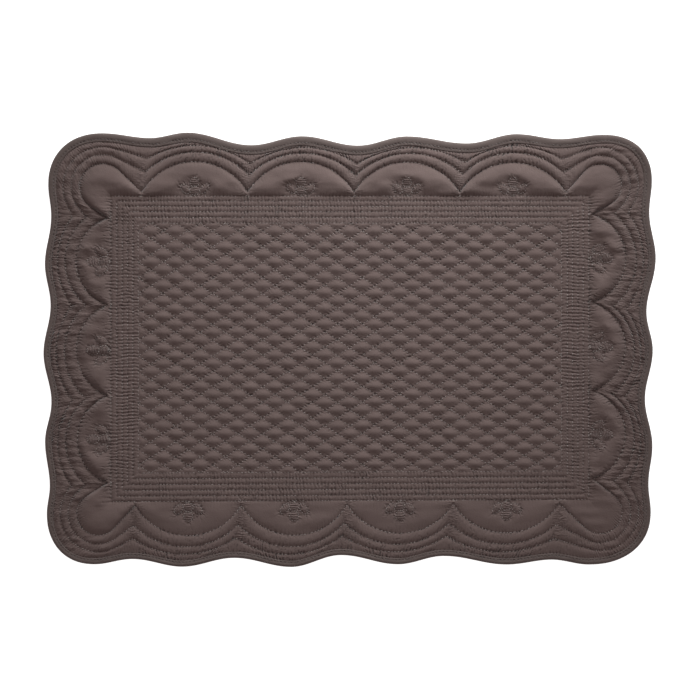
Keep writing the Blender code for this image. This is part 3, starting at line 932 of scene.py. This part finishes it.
def add_frame(cloth, detail, edge_vertices, edge_places):
    """The frame's channels, from the field outwards. Returns its outer ring."""
    places = evenly([ceil(length / column) for length, column in zip(frame_lengths(FRAME[2]), detail.frame_column)])
    puckers = scaled(FRAME_PUCKERS, corner_fade(places))
    turns = (CORNER_COUNTS[-1], CORNER_COUNTS[-1])
    lines = FRAME[::-1]
    ring = None
    for index, (inner_row, outer_row) in enumerate(zip(lines, lines[1:])):
        inner, outer = frame_points(inner_row, places), frame_points(outer_row, places)
        near_of, far_of = partial(frame_stitches, inner_row, places), partial(frame_stitches, outer_row, places)
        if ring is None:
            near = beside(frame_stitches(inner_row, edge_places), 0.0)
            far = beside(frame_stitches(outer_row, edge_places), CHANNEL_WIDTH)
            ring = Ring(edge_vertices, edge_places, near, far, turns)
        else:
            near, far = beside(near_of(inner), 0.0), beside(far_of(inner), reach(inner, outer))
            ring = Ring(ring.vertices, places, near, far, turns)

        def height_of(points, width, share, near, far):
            rise = loft(width) * puff_profile(share, FRAME_SQUARENESS)
            if cloth.under:
                return under_height(rise, FRAME_PRESS)
            seeds = (FRAME_SEED + index, FRAME_SEED + index + 1)
            return top_height(points, FRAME_FULLNESS * rise, near, far, seeds, FRAME_CRUMPLE)

        shares = detail.frame_steps + (1.0,)
        ring = add_bands(cloth, ring, places, inner, outer, shares, near_of, far_of, puckers, height_of)
    return ring


def disc_shares(sector, column):
    """Columns across a half-disc, closer together at the flower in its middle."""
    shares = np.linspace(0.0, 1.0, 2 * ceil(sector.length / column / 2.0) + 1)
    return shares if sector.is_corner else shares + 0.5 * np.sin(2.0 * pi * shares) / (2.0 * pi)


def add_discs(cloth, detail, ring):
    """The half-discs and corner puffs, from the frame's outer row. Returns the last ring inside the row round them."""
    places, bases, puffs = [], [], []
    shares_of = [disc_shares(sector, detail.disc_column) for sector in SECTORS]
    for sector, shares in zip(SECTORS, shares_of):
        places.append(sector.places(shares)[:-1])
        bases.append(frame_points(FRAME[0], sector.places(shares))[:-1])
        puffs.append(sector.row(PUFF_ROW, shares, sector.tips, sector.tips[0])[:-1])
    places, bases, puffs = in_order(places, bases, puffs)
    fullness, dragged = round_the_mat(places, DISC_FULLNESS), round_the_mat(places, DISC_DRAG)
    pulls = np.where(np.floor(places) % 2 == 0, 1.0, LEVEL_PULL)
    sewn = frame_stitches(FRAME[0], ring.places)
    far = beside(0.0, np.full(len(sewn), DISC_AWAY))
    ring = Ring(ring.vertices, ring.places, beside(sewn, 0.0), far, (CORNER_COUNTS[-1], BORDER_COUNTS[-1]))

    def height_of(points, width, share, near, far):
        rise = loft(width) * puff_profile(share, DISC_SQUARENESS)
        if cloth.under:
            return under_height(rise, DISC_PRESS)
        folded = dragged * puff_profile(share, 4.0)
        drag = dragged * (humps(points, 15.0, 9.0, 46) * puff_profile(share, 2.0))
        rise = flower_relief(points, rise * fullness + drag + drag_folds(points, 0.9, 0.0) * folded)
        rise += drag_folds(points, 0.6, 0.3) * folded
        return top_height(points, rise, near, far, DISC_SEEDS, DISC_CRUMPLE, (BASE_REACH, HOLE_REACH), (pulls, 1.0))

    sewn_round = border_stitches(shares_of)
    near_of, far_of = partial(frame_stitches, FRAME[0], places), lambda points: sewn_round
    puckers = scaled(DISC_PUCKERS, corner_fade(places) * pulls)
    return add_bands(cloth, ring, places, bases, puffs, detail.disc_steps, near_of, far_of, puckers, height_of)


def add_channels(cloth, detail, ring, border):
    """The row round the half-discs, the echo channels, and the strip under the binding. Returns the last ring."""
    sewn = border.stitches
    fullness, pull = round_the_mat(border.places, CHANNEL_FULLNESS), round_the_mat(border.places, CHANNEL_PULL)
    puckers = scaled(CHANNEL_PUCKERS, pull)
    row = border.rows[0]
    near, far = beside(frame_stitches(FRAME[0], border.places), DISC_AWAY), beside(sewn, 0.0)
    height = UNDER_LIFT if cloth.under else top_height(row, np.zeros(len(row)), near, far, DISC_SEEDS, ROW_CRUMPLE)
    vertices = cloth.add(row, height, DISC_PUCKERS)
    cloth.join(ring, Ring(vertices, border.places, near, far, ring.turns))
    turns = (BORDER_COUNTS[-1], BORDER_COUNTS[-1])
    for index, (inner, outer) in enumerate(zip(border.rows, border.rows[1:])):
        ring = Ring(vertices, border.places, beside(sewn, 0.0), beside(sewn, reach(inner, outer)), turns)

        def height_of(points, width, share, near, far):
            rise = loft(width) * puff_profile(share, CHANNEL_SQUARENESS)
            if cloth.under:
                return under_height(rise, CHANNEL_PRESS)
            rise = fullness * rise * (1.0 - CREASE_FLATNESS * creased(points))
            rise += drag_folds(points, 0.45, 1.05) * puff_profile(share, 3.0)
            seeds = (BORDER_SEED + index, BORDER_SEED + index + 1)
            height = top_height(points, rise, near, far, seeds, CHANNEL_CRUMPLE, pulls=(pull, pull))
            return mix(height, EDGE_TOP, share ** 3) if index == len(border.rows) - 2 else height

        shares = detail.border_steps[index] + (1.0,)
        sewn_of = lambda points: sewn
        ring = add_bands(cloth, ring, border.places, inner, outer, shares, sewn_of, sewn_of, puckers, height_of)
        vertices = ring.vertices
    return ring


def add_face(cloth, detail):
    """One whole face of the quilted cloth, from the middle outwards. Returns its outermost ring, and its border."""
    border = Border(detail.border_column, cloth.under)
    ring = add_frame(cloth, detail, *add_field(cloth, detail))
    ring = add_discs(cloth, detail, ring)
    return add_channels(cloth, detail, ring, border), border


def quilted_mat(material):
    cloth = Cloth()
    top, border = add_face(cloth, TOP)
    cloth.under = True
    under, under_border = add_face(cloth, UNDER)
    cloth.under = False
    rings = [top]
    for distance, height in ((EDGE_INSET, EDGE_TOP), (EDGE_INSET, EDGE_UNDER), (UNDER_FREE, EDGE_UNDER)):
        rings.append(cloth.plain_ring(under_border.places, inset(under_border.outline, distance), height))
    for ring, following in zip(rings, rings[1:] + [under]):
        cloth.join(ring, following)
    return finished(cloth, "quilted_mat", material), border


# ---- the binding -------------------------------------------------------------------------------------------

BINDING_COLUMN = 0.75
BINDING_LEAN = 0.32           # stitches that its creases lean by for each millimetre across it: it is cut on the bias
BINDING_PULL = 0.25           # share of a needle hole's depth that shows in its three layers
BINDING_WAVE = 0.16           # how uneven its roll is
BINDING_RIPPLE = 0.05


def stitches_round(ring):
    """Stitches sewn along a closed ring on the way to each of its points, and the whole number round it."""
    length = walked(closed(ring))
    total = round(length[-1] / STITCH)
    return length[:-1] * total / length[-1], total


def binding_piece(material):
    cloth = Cloth()
    border = Border(BINDING_COLUMN)
    sewn, total = stitches_round(border.bound(BINDING_STITCHING))
    run = walked(closed(border.outline))[:-1]
    rings = []
    for index, (depth, height) in enumerate(BINDING):
        points = border.bound(depth) if index in UPPER_LEAF else inset(border.outline, depth)
        away = np.full(len(run), abs(depth - BINDING_STITCHING))
        heights = np.full(len(run), height)
        if index in ROLL:
            leaning = sewn + BINDING_LEAN * (depth - BINDING_STITCHING)
            heights -= BINDING_PULL * pucker(leaning, away, 80, HOLE_REACH)
            heights += BINDING_WAVE * unevenness(run / 9.0, depth / 3.0, 81)
            heights += BINDING_RIPPLE * unevenness(run / 2.6 - depth * 0.5, depth / 2.0, 82)
        puckers = BINDING_SEAM if abs(depth - BINDING_STITCHING) < SEAM_REACH else BINDING_PUCKERS
        far = beside(0.0, np.full(len(run), FAR_OFF))
        rings.append(Ring(cloth.add(points, heights, puckers), border.places, beside(sewn, away), far, (total, 0)))
    for ring, following in zip(rings, rings[1:] + rings[:1]):
        cloth.join(following, ring)
    return finished(cloth, "bias_binding", material)


# ---- the stitches ------------------------------------------------------------------------------------------

THREAD = 0.23                 # radius
THREAD_SIDES = 4
STITCH_COVER = 0.66           # share of a stitch's length that shows
COVERS = (0.75, 1.1)          # least and most of that, for a single stitch
SHORTEST = 0.8                # shorter ones aren't sewn
LEAN = 0.09                   # how far stitches stray from their row's direction
SUNK = 0.34                   # how deep, at most, the stitches that sink into the cloth lie
SUNK_SHARES = {               # share of the stitches that sink in
    "diamond_stitches": 0.8,
    "frame_stitches": 0.6,
    "border_stitches": 0.65,
    "flower_stitches": 0.62,
    "binding_stitches": 1.0,
}
HEIGHTS_AT = (0.12, 0.5, 0.88)          # where along a stitch the cloth's height is taken
# Along a stitch's visible length: where its rings are, their share of the thread's radius, and how high they lie.
Station = namedtuple("Station", "at slim arch")
STATIONS = (Station(-0.5, 0.45, -0.10), Station(-0.34, 1.0, 0.11), Station(0.34, 1.0, 0.11), Station(0.5, 0.45, -0.10))
FLOWER_STITCH = 2.2
KNOT_STITCHES = 4
KNOT_SIZE = 0.9               # how far from its middle a knot's stitches are
KNOT_OUT = 0.8                # how far out from a flower's foot its knot is
KNOT_HALF_LENGTHS = (0.8, 1.3)


class Surface:
    """The height of the finished meshes under any point."""

    def __init__(self, *items):
        self.trees = []
        for item in items:
            points = [vertex.co for vertex in item.data.vertices]
            self.trees.append(BVHTree.FromPolygons(points, [tuple(face.vertices) for face in item.data.polygons]))

    def heights(self, points):
        found = []
        for x, y in points * MILLIMETRE:
            hits = [tree.ray_cast(Vector((x, y, 0.02)), Vector((0.0, 0.0, -1.0)))[0] for tree in self.trees]
            found.append(max([hit.z for hit in hits if hit] or [0.0]))
        return np.array(found) / MILLIMETRE


def stitch_faces():
    """The faces of one stitch, as numbers of its points, ring by ring."""
    faces = []
    for start in range(0, (len(STATIONS) - 1) * THREAD_SIDES, THREAD_SIDES):
        for turn in range(THREAD_SIDES):
            a, b = start + turn, start + (turn + 1) % THREAD_SIDES
            faces += [(a, b, b + THREAD_SIDES), (a, b + THREAD_SIDES, a + THREAD_SIDES)]
    last = (len(STATIONS) - 1) * THREAD_SIDES
    for turn in range(1, THREAD_SIDES - 1):
        faces += [(0, turn + 1, turn), (last, last + turn, last + turn + 1)]
    return np.array(faces)


def sewn_stitches(name, runs, surface, material):
    """Stitches from each hole of a run to the next. A run is a list of holes."""
    starts, ends = np.vstack([run[:-1] for run in runs]), np.vstack([run[1:] for run in runs])
    good = reach(starts, ends) > SHORTEST
    starts, ends = starts[good], ends[good]
    length = reach(starts, ends)[:, None]
    along = (ends - starts) / length
    sideways = np.column_stack([-along[:, 1], along[:, 0]])
    random = np.random.default_rng(len(starts))
    lean = random.normal(0.0, LEAN, len(starts))[:, None]
    lift = random.uniform(-SUNK, 0.0, len(starts)) * (random.random(len(starts)) < SUNK_SHARES[name])
    shown = STITCH_COVER * random.uniform(*COVERS, len(starts))[:, None] * length
    along, sideways = along + sideways * lean, sideways - along * lean
    low, high, low_end = [surface.heights(mix(starts, ends, share)) for share in HEIGHTS_AT]
    rings = []
    for station in STATIONS:
        centre = mix(starts, ends, 0.5) + along * station.at * shown
        end_height = low if station.at < 0 else low_end
        height = mix(high, end_height, min(1.0, abs(2.0 * station.at) ** 3)) + station.arch + lift
        for turn in range(THREAD_SIDES):
            angle = 2.0 * pi * (turn + 0.5) / THREAD_SIDES
            flat = centre + sideways * (THREAD * station.slim * cos(angle))
            rings.append(np.column_stack([flat, height + THREAD * station.slim * sin(angle)]))
    points = np.stack(rings, axis=1)
    faces = stitch_faces() + (np.arange(len(points)) * points.shape[1])[:, None, None]
    return mesh_object(name, points.reshape(-1, 3), faces.reshape(-1, 3), material)


def holes_along(points, stitches):
    """The needle holes along a line of points, where a whole number of stitches is sewn."""
    return points_at(np.arange(ceil(stitches[0]), int(stitches[-1]) + 1), stitches, points)


def closed_run(ring, stitches, total):
    return holes_along(closed(ring), np.append(stitches, stitches[0] + total))


def frame_runs():
    runs = []
    for row in FRAME:
        for side in range(SIDES):
            places = side + np.linspace(0.0, 0.9999, 400)
            runs.append(holes_along(frame_points(row, places), frame_stitches(row, places)))
    return runs


def diamond_runs():
    """The holes along the field's slanted rows, which cross the cells both ways."""
    runs = []
    wide, high = 2 * CELLS_ALONG, 2 * CELLS_ACROSS
    steps = np.arange(-2 * (wide + high), 2 * (wide + high) + 1) * (2.0 / STITCHES_A_SIDE)
    for line in range(1 - high, wide + high, 2):
        for u, v in (((line + steps) / 2.0, (line - steps) / 2.0), ((steps + line) / 2.0, (steps - line) / 2.0)):
            inside = (u >= 0) & (u <= wide) & (v >= 0) & (v <= high)
            if inside.sum() > 1:
                runs.append(field_points(u[inside], v[inside]))
    return runs


def border_runs(border):
    return [closed_run(row, border.stitches, BORDER_COUNTS[-1]) for row in border.rows[:-1]]


def binding_runs():
    ring = Border(BINDING_COLUMN).bound(BINDING_STITCHING)
    return [closed_run(ring, *stitches_round(ring))]


def knot_runs():
    """Where a row starts or ends, a few short stitches lie on each other: at the tips and under the flowers."""
    random = np.random.default_rng(7)
    runs = []
    for sector in SECTORS:
        knots = [sector.base] if sector.is_corner else [sector.base, sector.foot + sector.out * KNOT_OUT]
        for knot in knots:
            for _ in range(KNOT_STITCHES):
                middle = knot + random.uniform(-KNOT_SIZE, KNOT_SIZE, 2)
                angle = random.uniform(0.0, pi)
                half = np.array([cos(angle), sin(angle)]) * random.uniform(*KNOT_HALF_LENGTHS)
                runs.append(np.array([middle - half, middle + half]))
    return runs


def petal_run(sector, petal):
    lean = radians(petal.lean)
    angles = np.linspace(0.0, 2.0 * pi, PETAL_STEPS + 1)[:, None]
    across, far = petal.half_width * np.cos(angles), petal.half_length * np.sin(angles)
    along = petal.along + across * cos(lean) - far * sin(lean)
    out = (petal.out + across * sin(lean) + far * cos(lean)) * FLOWER_LENGTH[sector.side]
    line = sector.foot + along * sector.along + out * sector.out
    count = round(walked(line)[-1] / FLOWER_STITCH)
    return divided(line, np.arange(count + 1) / count)


def flower_runs():
    return [petal_run(sector, petal) for sector in SECTORS if not sector.is_corner for petal in FLOWER]


# ---- the materials -----------------------------------------------------------------------------------------

class Value:
    """What a node puts out. Reckoning with it adds the nodes that do so."""

    def __init__(self, graph, socket):
        self.graph, self.socket = graph, socket

    def by(self, operation, other=0.0):
        return self.graph.node("ShaderNodeMath", {"operation": operation}, self, other)

    def __add__(self, other):
        return self.by("ADD", other)

    def __sub__(self, other):
        return self.by("SUBTRACT", other)

    def __mul__(self, other):
        return self.by("MULTIPLY", other)

    def __truediv__(self, other):
        return self.by("DIVIDE", other)

    def __pow__(self, other):
        return self.by("POWER", other)

    def __abs__(self):
        return self.by("ABSOLUTE")

    def faded(self):
        """1 at 0, and less and less beyond."""
        return (self * -1.0).by("EXPONENT")

    def hump(self):
        """1 at whole numbers, and 0 halfway between two."""
        return (self * (2.0 * pi)).by("COSINE") * 0.5 + 0.5


class Graph:
    """Short calls that add and link the nodes of one material."""

    def __init__(self, name):
        self.material = bpy.data.materials.new(name)
        self.material.use_nodes = True
        self.tree = self.material.node_tree

    def put(self, value, socket):
        if isinstance(value, Value):
            self.tree.links.new(value.socket, socket)
        else:
            socket.default_value = value

    def node(self, kind, settings=None, *values, output=0, **inputs):
        """A node's value. The plain values go to its first inputs, and the named ones to those of these names."""
        node = self.tree.nodes.new(kind)
        for name, value in (settings or {}).items():
            setattr(node, name, value)
        for value, socket in zip(values, node.inputs):
            self.put(value, socket)
        for name, value in inputs.items():
            self.put(value, node.inputs[name])
        return Value(self, node.outputs[output])

    def parts(self, value):
        """The first two parts of a place."""
        return [self.node("ShaderNodeSeparateXYZ", Vector=value, output=part) for part in ("X", "Y")]

    def attribute(self, name):
        """A number that the mesh keeps at each of its vertices."""
        return self.node("ShaderNodeAttribute", {"attribute_name": name}, output="Fac")

    def noise(self, place, size, detail=1.0, roughness=0.5):
        """Noise whose humps are about this many millimetres across, from 0 to 1."""
        return self.node("ShaderNodeTexNoise", Vector=place, Scale=1.0 / size, Detail=detail, Roughness=roughness)

    def patches(self, place, size, mean, contrast, least):
        """Patches of more and less of something."""
        return ((self.noise(place, size) - 0.5) * contrast + mean).by("MAXIMUM", least)

    def mixed(self, share, first, second):
        node = self.tree.nodes.new("ShaderNodeMix")
        node.data_type = "RGBA"
        for value, socket in zip((share, first, second), (node.inputs[0], node.inputs[6], node.inputs[7])):
            self.put(value, socket)
        return Value(self, node.outputs[2])

    def shaded(self, inputs):
        """The material, with these values of its shader."""
        for name, value in inputs.items():
            self.put(value, self.tree.nodes["Principled BSDF"].inputs[name])
        return self.material


WEAVE = 0.42                  # from one yarn to the next
WEAVE_HEIGHT = 0.02
FUZZ = 1.3                    # size of the cloth's finest unevenness
FUZZ_HEIGHT = 0.12
SWING = 5.0                   # size of the patches over which puckers and flowers stray
PUCKER_WANDER = 1.6           # how far puckers stray, in stitches
FINE_PUCKER = 0.42            # depth of the puckers that are too fine for the mesh
PUCKER_REACHES = dict(size=3.6, mean=0.75, contrast=2.6, least=0.15)
PUCKER_DEPTHS = dict(size=2.4, mean=0.9, contrast=3.6, least=0.1)
PUCKER_STRETCHES = dict(size=13.0, mean=1.0, contrast=3.0, least=0.2)
SEAM_WIDTH = 0.5              # half the width of the painted shadow line along a row
SEAM_THREAD = 0.3             # share of that painted shadow between two holes
FLOWER_PULL = 1.3             # how far from a line of the flower its puckers reach
FLOWER_DEPTH = 0.6            # their depth
FLOWER_STRAY = 6.0            # how far, at most, the flower's puckers stray from its lines
FLOWER_SWING = 4.3
GATHERS = 2.0                 # size of the patches of deeper and fainter gathers
RUNG = 1.9                    # from one gather across a flower's middle to the next
RUNG_STRAY = 2.0
RUNG_WIDTH = 3.8              # half the gathers' length
RUNGS_MIDDLE = 8.0            # how far out their middle is
CREASE_HEIGHT = 0.68          # height of the creases where the cloth is drawn together
CREASE_SIZE = 1.7
CREASE_STRETCH = 0.36         # how much finer they are across than along
CREASE_SHARE = 0.6            # share of their height away from the flowers
HOLLOW_STEEPNESS = 2.2        # how narrow the hollows between them are, which painted shade darkens
# How far painted shade darkens the colour towards the unlit tone in the seams, puckers, flower gathers and crease
# hollows, and at most
SEAM_PAINTED_SHADE, PUCKER_PAINTED_SHADE, GATHER_PAINTED_SHADE, HOLLOW_PAINTED_SHADE, DARKEST_PAINTED_SHADE = 0.43, 0.3, 0.12, 0.4, 0.9
DEEP = 0.35                   # brightness of what light doesn't reach, as a share of the dark colour's
COTTON = {"Roughness": 0.9, "Specular IOR Level": 0.2, "Sheen Weight": 0.25, "Sheen Roughness": 0.5}
THREAD_LOOK = {"Roughness": 0.6, "Sheen Weight": 0.2}
TWIST = 0.5                   # size of the light and dark spots on the thread
FLOOR = {
    "Base Color": (0.86, 0.86, 0.86, 1.0),
    "Roughness": 0.9,
    "Emission Color": (1.0, 1.0, 1.0, 1.0),
    "Emission Strength": 0.9,
}

Colours = namedtuple("Colours", "dark light")
CLOTH = Colours((0.100, 0.069, 0.064, 1.0), (0.140, 0.097, 0.090, 1.0))
BINDING_CLOTH = Colours((0.087, 0.0645, 0.0597, 1.0), (0.123, 0.0912, 0.0843, 1.0))
QUILTING = Colours((0.205, 0.168, 0.156, 1.0), (0.31, 0.26, 0.245, 1.0))
EDGE_STITCHING = Colours((0.085, 0.068, 0.064, 1.0), (0.13, 0.105, 0.098, 1.0))


def millimetres(graph):
    """The place on the object, in millimetres."""
    place = graph.node("ShaderNodeTexCoord", output="Object")
    return graph.node("ShaderNodeVectorMath", {"operation": "SCALE"}, Vector=place, Scale=1.0 / MILLIMETRE)


def fine_puckers(graph, layer, wander, reach):
    """Depth of the puckers at one of the two rows, and how much painted shadow darkens that row's line, each from 0 to
    1.
    """
    sewn, away = graph.parts(graph.node("ShaderNodeUVMap", {"uv_map": layer}))
    open_hole = (sewn + wander).hump() ** HOLE_SHARPNESS
    # The painted shadow line along the row, fainter between two holes
    seam = ((away / SEAM_WIDTH) ** 2.0).faded()
    return open_hole * (away / reach).faded(), seam * (open_hole * (1.0 - SEAM_THREAD) + SEAM_THREAD)


def flower_sewing(along, out):
    """Depth of the puckers round a flower, and how near a line of it is, each from 0 to 1."""
    pulled = nearest = None
    for petal in HALF_FLOWER:
        across, far = petal_place(petal, along, out)
        line = petal_line(petal, across, far)
        holes = round(pi * (petal.half_width + petal.half_length) / STITCH)
        pull = (line / FLOWER_PULL).faded() * (far.by("ARCTAN2", across) * (holes / (2.0 * pi))).hump()
        pulled = pull if pulled is None else pulled.by("MAXIMUM", pull)
        nearest = line if nearest is None else nearest.by("MINIMUM", line)
    return pulled, (nearest / GROOVE).faded()


def flower_rungs(along, out):
    """Depth of the gathers that lie across a flower's middle like rungs, from 0 to 1."""
    across = (along / RUNG_WIDTH) ** 4.0
    beyond = abs(out / RUNGS_MIDDLE - 1.0) ** 6.0
    return (across + beyond).faded() * (out / RUNG).hump()


def weave(graph, place):
    """Height of plain-woven yarns, from 0 to 1."""
    one, two = [(part * (2.0 * pi / WEAVE)).by("SINE") for part in graph.parts(place)]
    return one * two * 0.5 + 0.5


def cotton(name, colours):
    """Washed cotton, woven fine, its tone mottled lighter and darker at random, with painted shade darkening its
    seams, puckers, gathers and crease hollows.
    """
    graph = Graph(name)
    place = millimetres(graph)
    swing = graph.noise(place, SWING) - 0.5
    reach = graph.patches(place, **PUCKER_REACHES) * graph.attribute("pucker_reach")
    rows = [fine_puckers(graph, layer, swing * PUCKER_WANDER, reach) for layer in ("row_near", "row_far")]
    depth = graph.attribute("pucker_depth")
    uneven = graph.patches(place, **PUCKER_DEPTHS) * graph.patches(place, **PUCKER_STRETCHES)
    puckers = (rows[0][0] + rows[1][0]) * uneven * depth
    seams = (rows[0][1] + rows[1][1]) * depth

    along, out = graph.attribute("flower_along"), graph.attribute("flower_out")
    stray = (graph.noise(place, FLOWER_SWING) - 0.5) * FLOWER_STRAY
    gathers, line = flower_sewing(along + swing * FLOWER_STRAY, out + stray)
    gathers = gathers.by("MAXIMUM", flower_rungs(along, out + swing * RUNG_STRAY))
    gathers = gathers * graph.noise(place, GATHERS) * 2.0
    stretched = graph.node("ShaderNodeMapping", Vector=place, Scale=(CREASE_STRETCH, 1.0, 1.0))
    ridges = abs(graph.noise(stretched, CREASE_SIZE) - 0.5) * 4.0
    drawn = line.by("MAXIMUM", graph.attribute("creased") * CREASE_SHARE)
    hollows = drawn * (ridges * -HOLLOW_STEEPNESS + 1.0).by("MAXIMUM", 0.0)

    height = drawn * ridges * CREASE_HEIGHT - puckers * FINE_PUCKER - gathers * FLOWER_DEPTH
    height = height + graph.noise(place, FUZZ, 3.0, 0.6) * FUZZ_HEIGHT + weave(graph, place) * WEAVE_HEIGHT
    bump = graph.node("ShaderNodeBump", Strength=1.0, Distance=1.0, Height=height * MILLIMETRE)

    worn = (graph.noise(place, 0.7, 2.0) + graph.noise(place, 38.0)) * 0.5
    # Painted shade: the colour darkens towards an unlit tone in seams, puckers, gathers and crease hollows, where the
    # folds would lie in shadow
    painted_shade = seams * SEAM_PAINTED_SHADE + puckers * PUCKER_PAINTED_SHADE + gathers * GATHER_PAINTED_SHADE + hollows * HOLLOW_PAINTED_SHADE
    painted_shade_colour = tuple(part * DEEP for part in colours.dark[:3]) + (1.0,)
    colour = graph.mixed(painted_shade.by("MINIMUM", DARKEST_PAINTED_SHADE), graph.mixed(worn, *colours), painted_shade_colour)
    return graph.shaded({"Base Color": colour, "Normal": bump, **COTTON})


def thread(name, colours):
    graph = Graph(name)
    twist = graph.noise(millimetres(graph), TWIST)
    return graph.shaded({"Base Color": graph.mixed(twist, *colours), **THREAD_LOOK})


# ---- the camera, the light and the floor -------------------------------------------------------------------

PIXEL = 0.7827                # the photograph's scale at the mat
PICTURE = 700                 # its width and height in pixels
MIDDLE = (0.27, -0.20)        # what its middle pixel shows
LENS = 85.0
SENSOR = 36.0
KEY_AZIMUTH = 12.0            # degrees to the right of the far side
KEY_HEIGHT = 20.0             # degrees above the floor
KEY_DISTANCE = 0.80           # in metres, as are the next two
KEY_SIZE = (0.5, 0.4)
KEY_AIM = (-0.01, 0.01, 0.0)
KEY_SPREAD = 66.0             # degrees: its beam fades towards the corners of the mat
KEY_POWER = 1.94
KEY_COLOUR = (0.93, 1.0, 1.003)
FILL = 0.365
FILL_COLOUR = (1.0, 0.895, 0.875, 1.0)
FLOOR_HALF = 3000.0
FLOOR_LEVEL = -0.1            # just under the mat


def photographs_view():
    data = bpy.data.cameras.new("camera")
    data.lens = LENS
    data.sensor_width = SENSOR
    data.clip_end = 10.0
    camera = added("camera", data)
    height = PIXEL * PICTURE * LENS / SENSOR + STITCH_HEIGHT + 1.0
    camera.location = (MIDDLE[0] * MILLIMETRE, MIDDLE[1] * MILLIMETRE, height * MILLIMETRE)
    bpy.context.scene.camera = camera


def key_light():
    """The studio's soft light, low beyond the mat's far side."""
    data = bpy.data.lights.new("key_light", "AREA")
    data.shape = "RECTANGLE"
    data.size, data.size_y = KEY_SIZE
    data.spread = radians(KEY_SPREAD)
    data.energy = KEY_POWER
    data.color = KEY_COLOUR
    light = added("key_light", data)
    turned, raised = radians(KEY_AZIMUTH), radians(KEY_HEIGHT)
    light.location = Vector((cos(raised) * sin(turned), cos(raised) * cos(turned), sin(raised))) * KEY_DISTANCE
    light.rotation_euler = (Vector(KEY_AIM) - light.location).to_track_quat("-Z", "Y").to_euler()


def soft_light():
    key_light()
    world = bpy.data.worlds.new("studio")
    world.use_nodes = True
    background = world.node_tree.nodes["Background"]
    background.inputs["Color"].default_value = FILL_COLOUR
    background.inputs["Strength"].default_value = FILL
    bpy.context.scene.world = world
    bpy.context.scene.view_settings.view_transform = "Standard"


def floor():
    flat = np.array([(-1, -1), (1, -1), (1, 1), (-1, 1)]) * FLOOR_HALF
    corners = np.column_stack([flat, np.full(len(flat), FLOOR_LEVEL)])
    item = mesh_object("floor", corners, np.array([(0, 1, 2, 3)]), Graph("pale_floor").shaded(FLOOR))


# ---- the scene ---------------------------------------------------------------------------------------------

photographs_view()
soft_light()
floor()

mat, border = quilted_mat(cotton("quilted_cotton", CLOTH))
edge = binding_piece(cotton("binding_cotton", BINDING_CLOTH))
quilting_thread = thread("sewing_thread", QUILTING)
edge_thread = thread("edge_thread", EDGE_STITCHING)
surface = Surface(mat, edge)
sewing = [
    sewn_stitches("diamond_stitches", diamond_runs(), surface, quilting_thread),
    sewn_stitches("frame_stitches", frame_runs(), surface, quilting_thread),
    sewn_stitches("border_stitches", border_runs(border) + knot_runs(), surface, quilting_thread),
    sewn_stitches("flower_stitches", flower_runs(), surface, quilting_thread),
    sewn_stitches("binding_stitches", binding_runs(), surface, edge_thread),
]

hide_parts("quilted_panel")
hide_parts("binding")
for item in (mat, edge, *sewing):
    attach(item, "root")
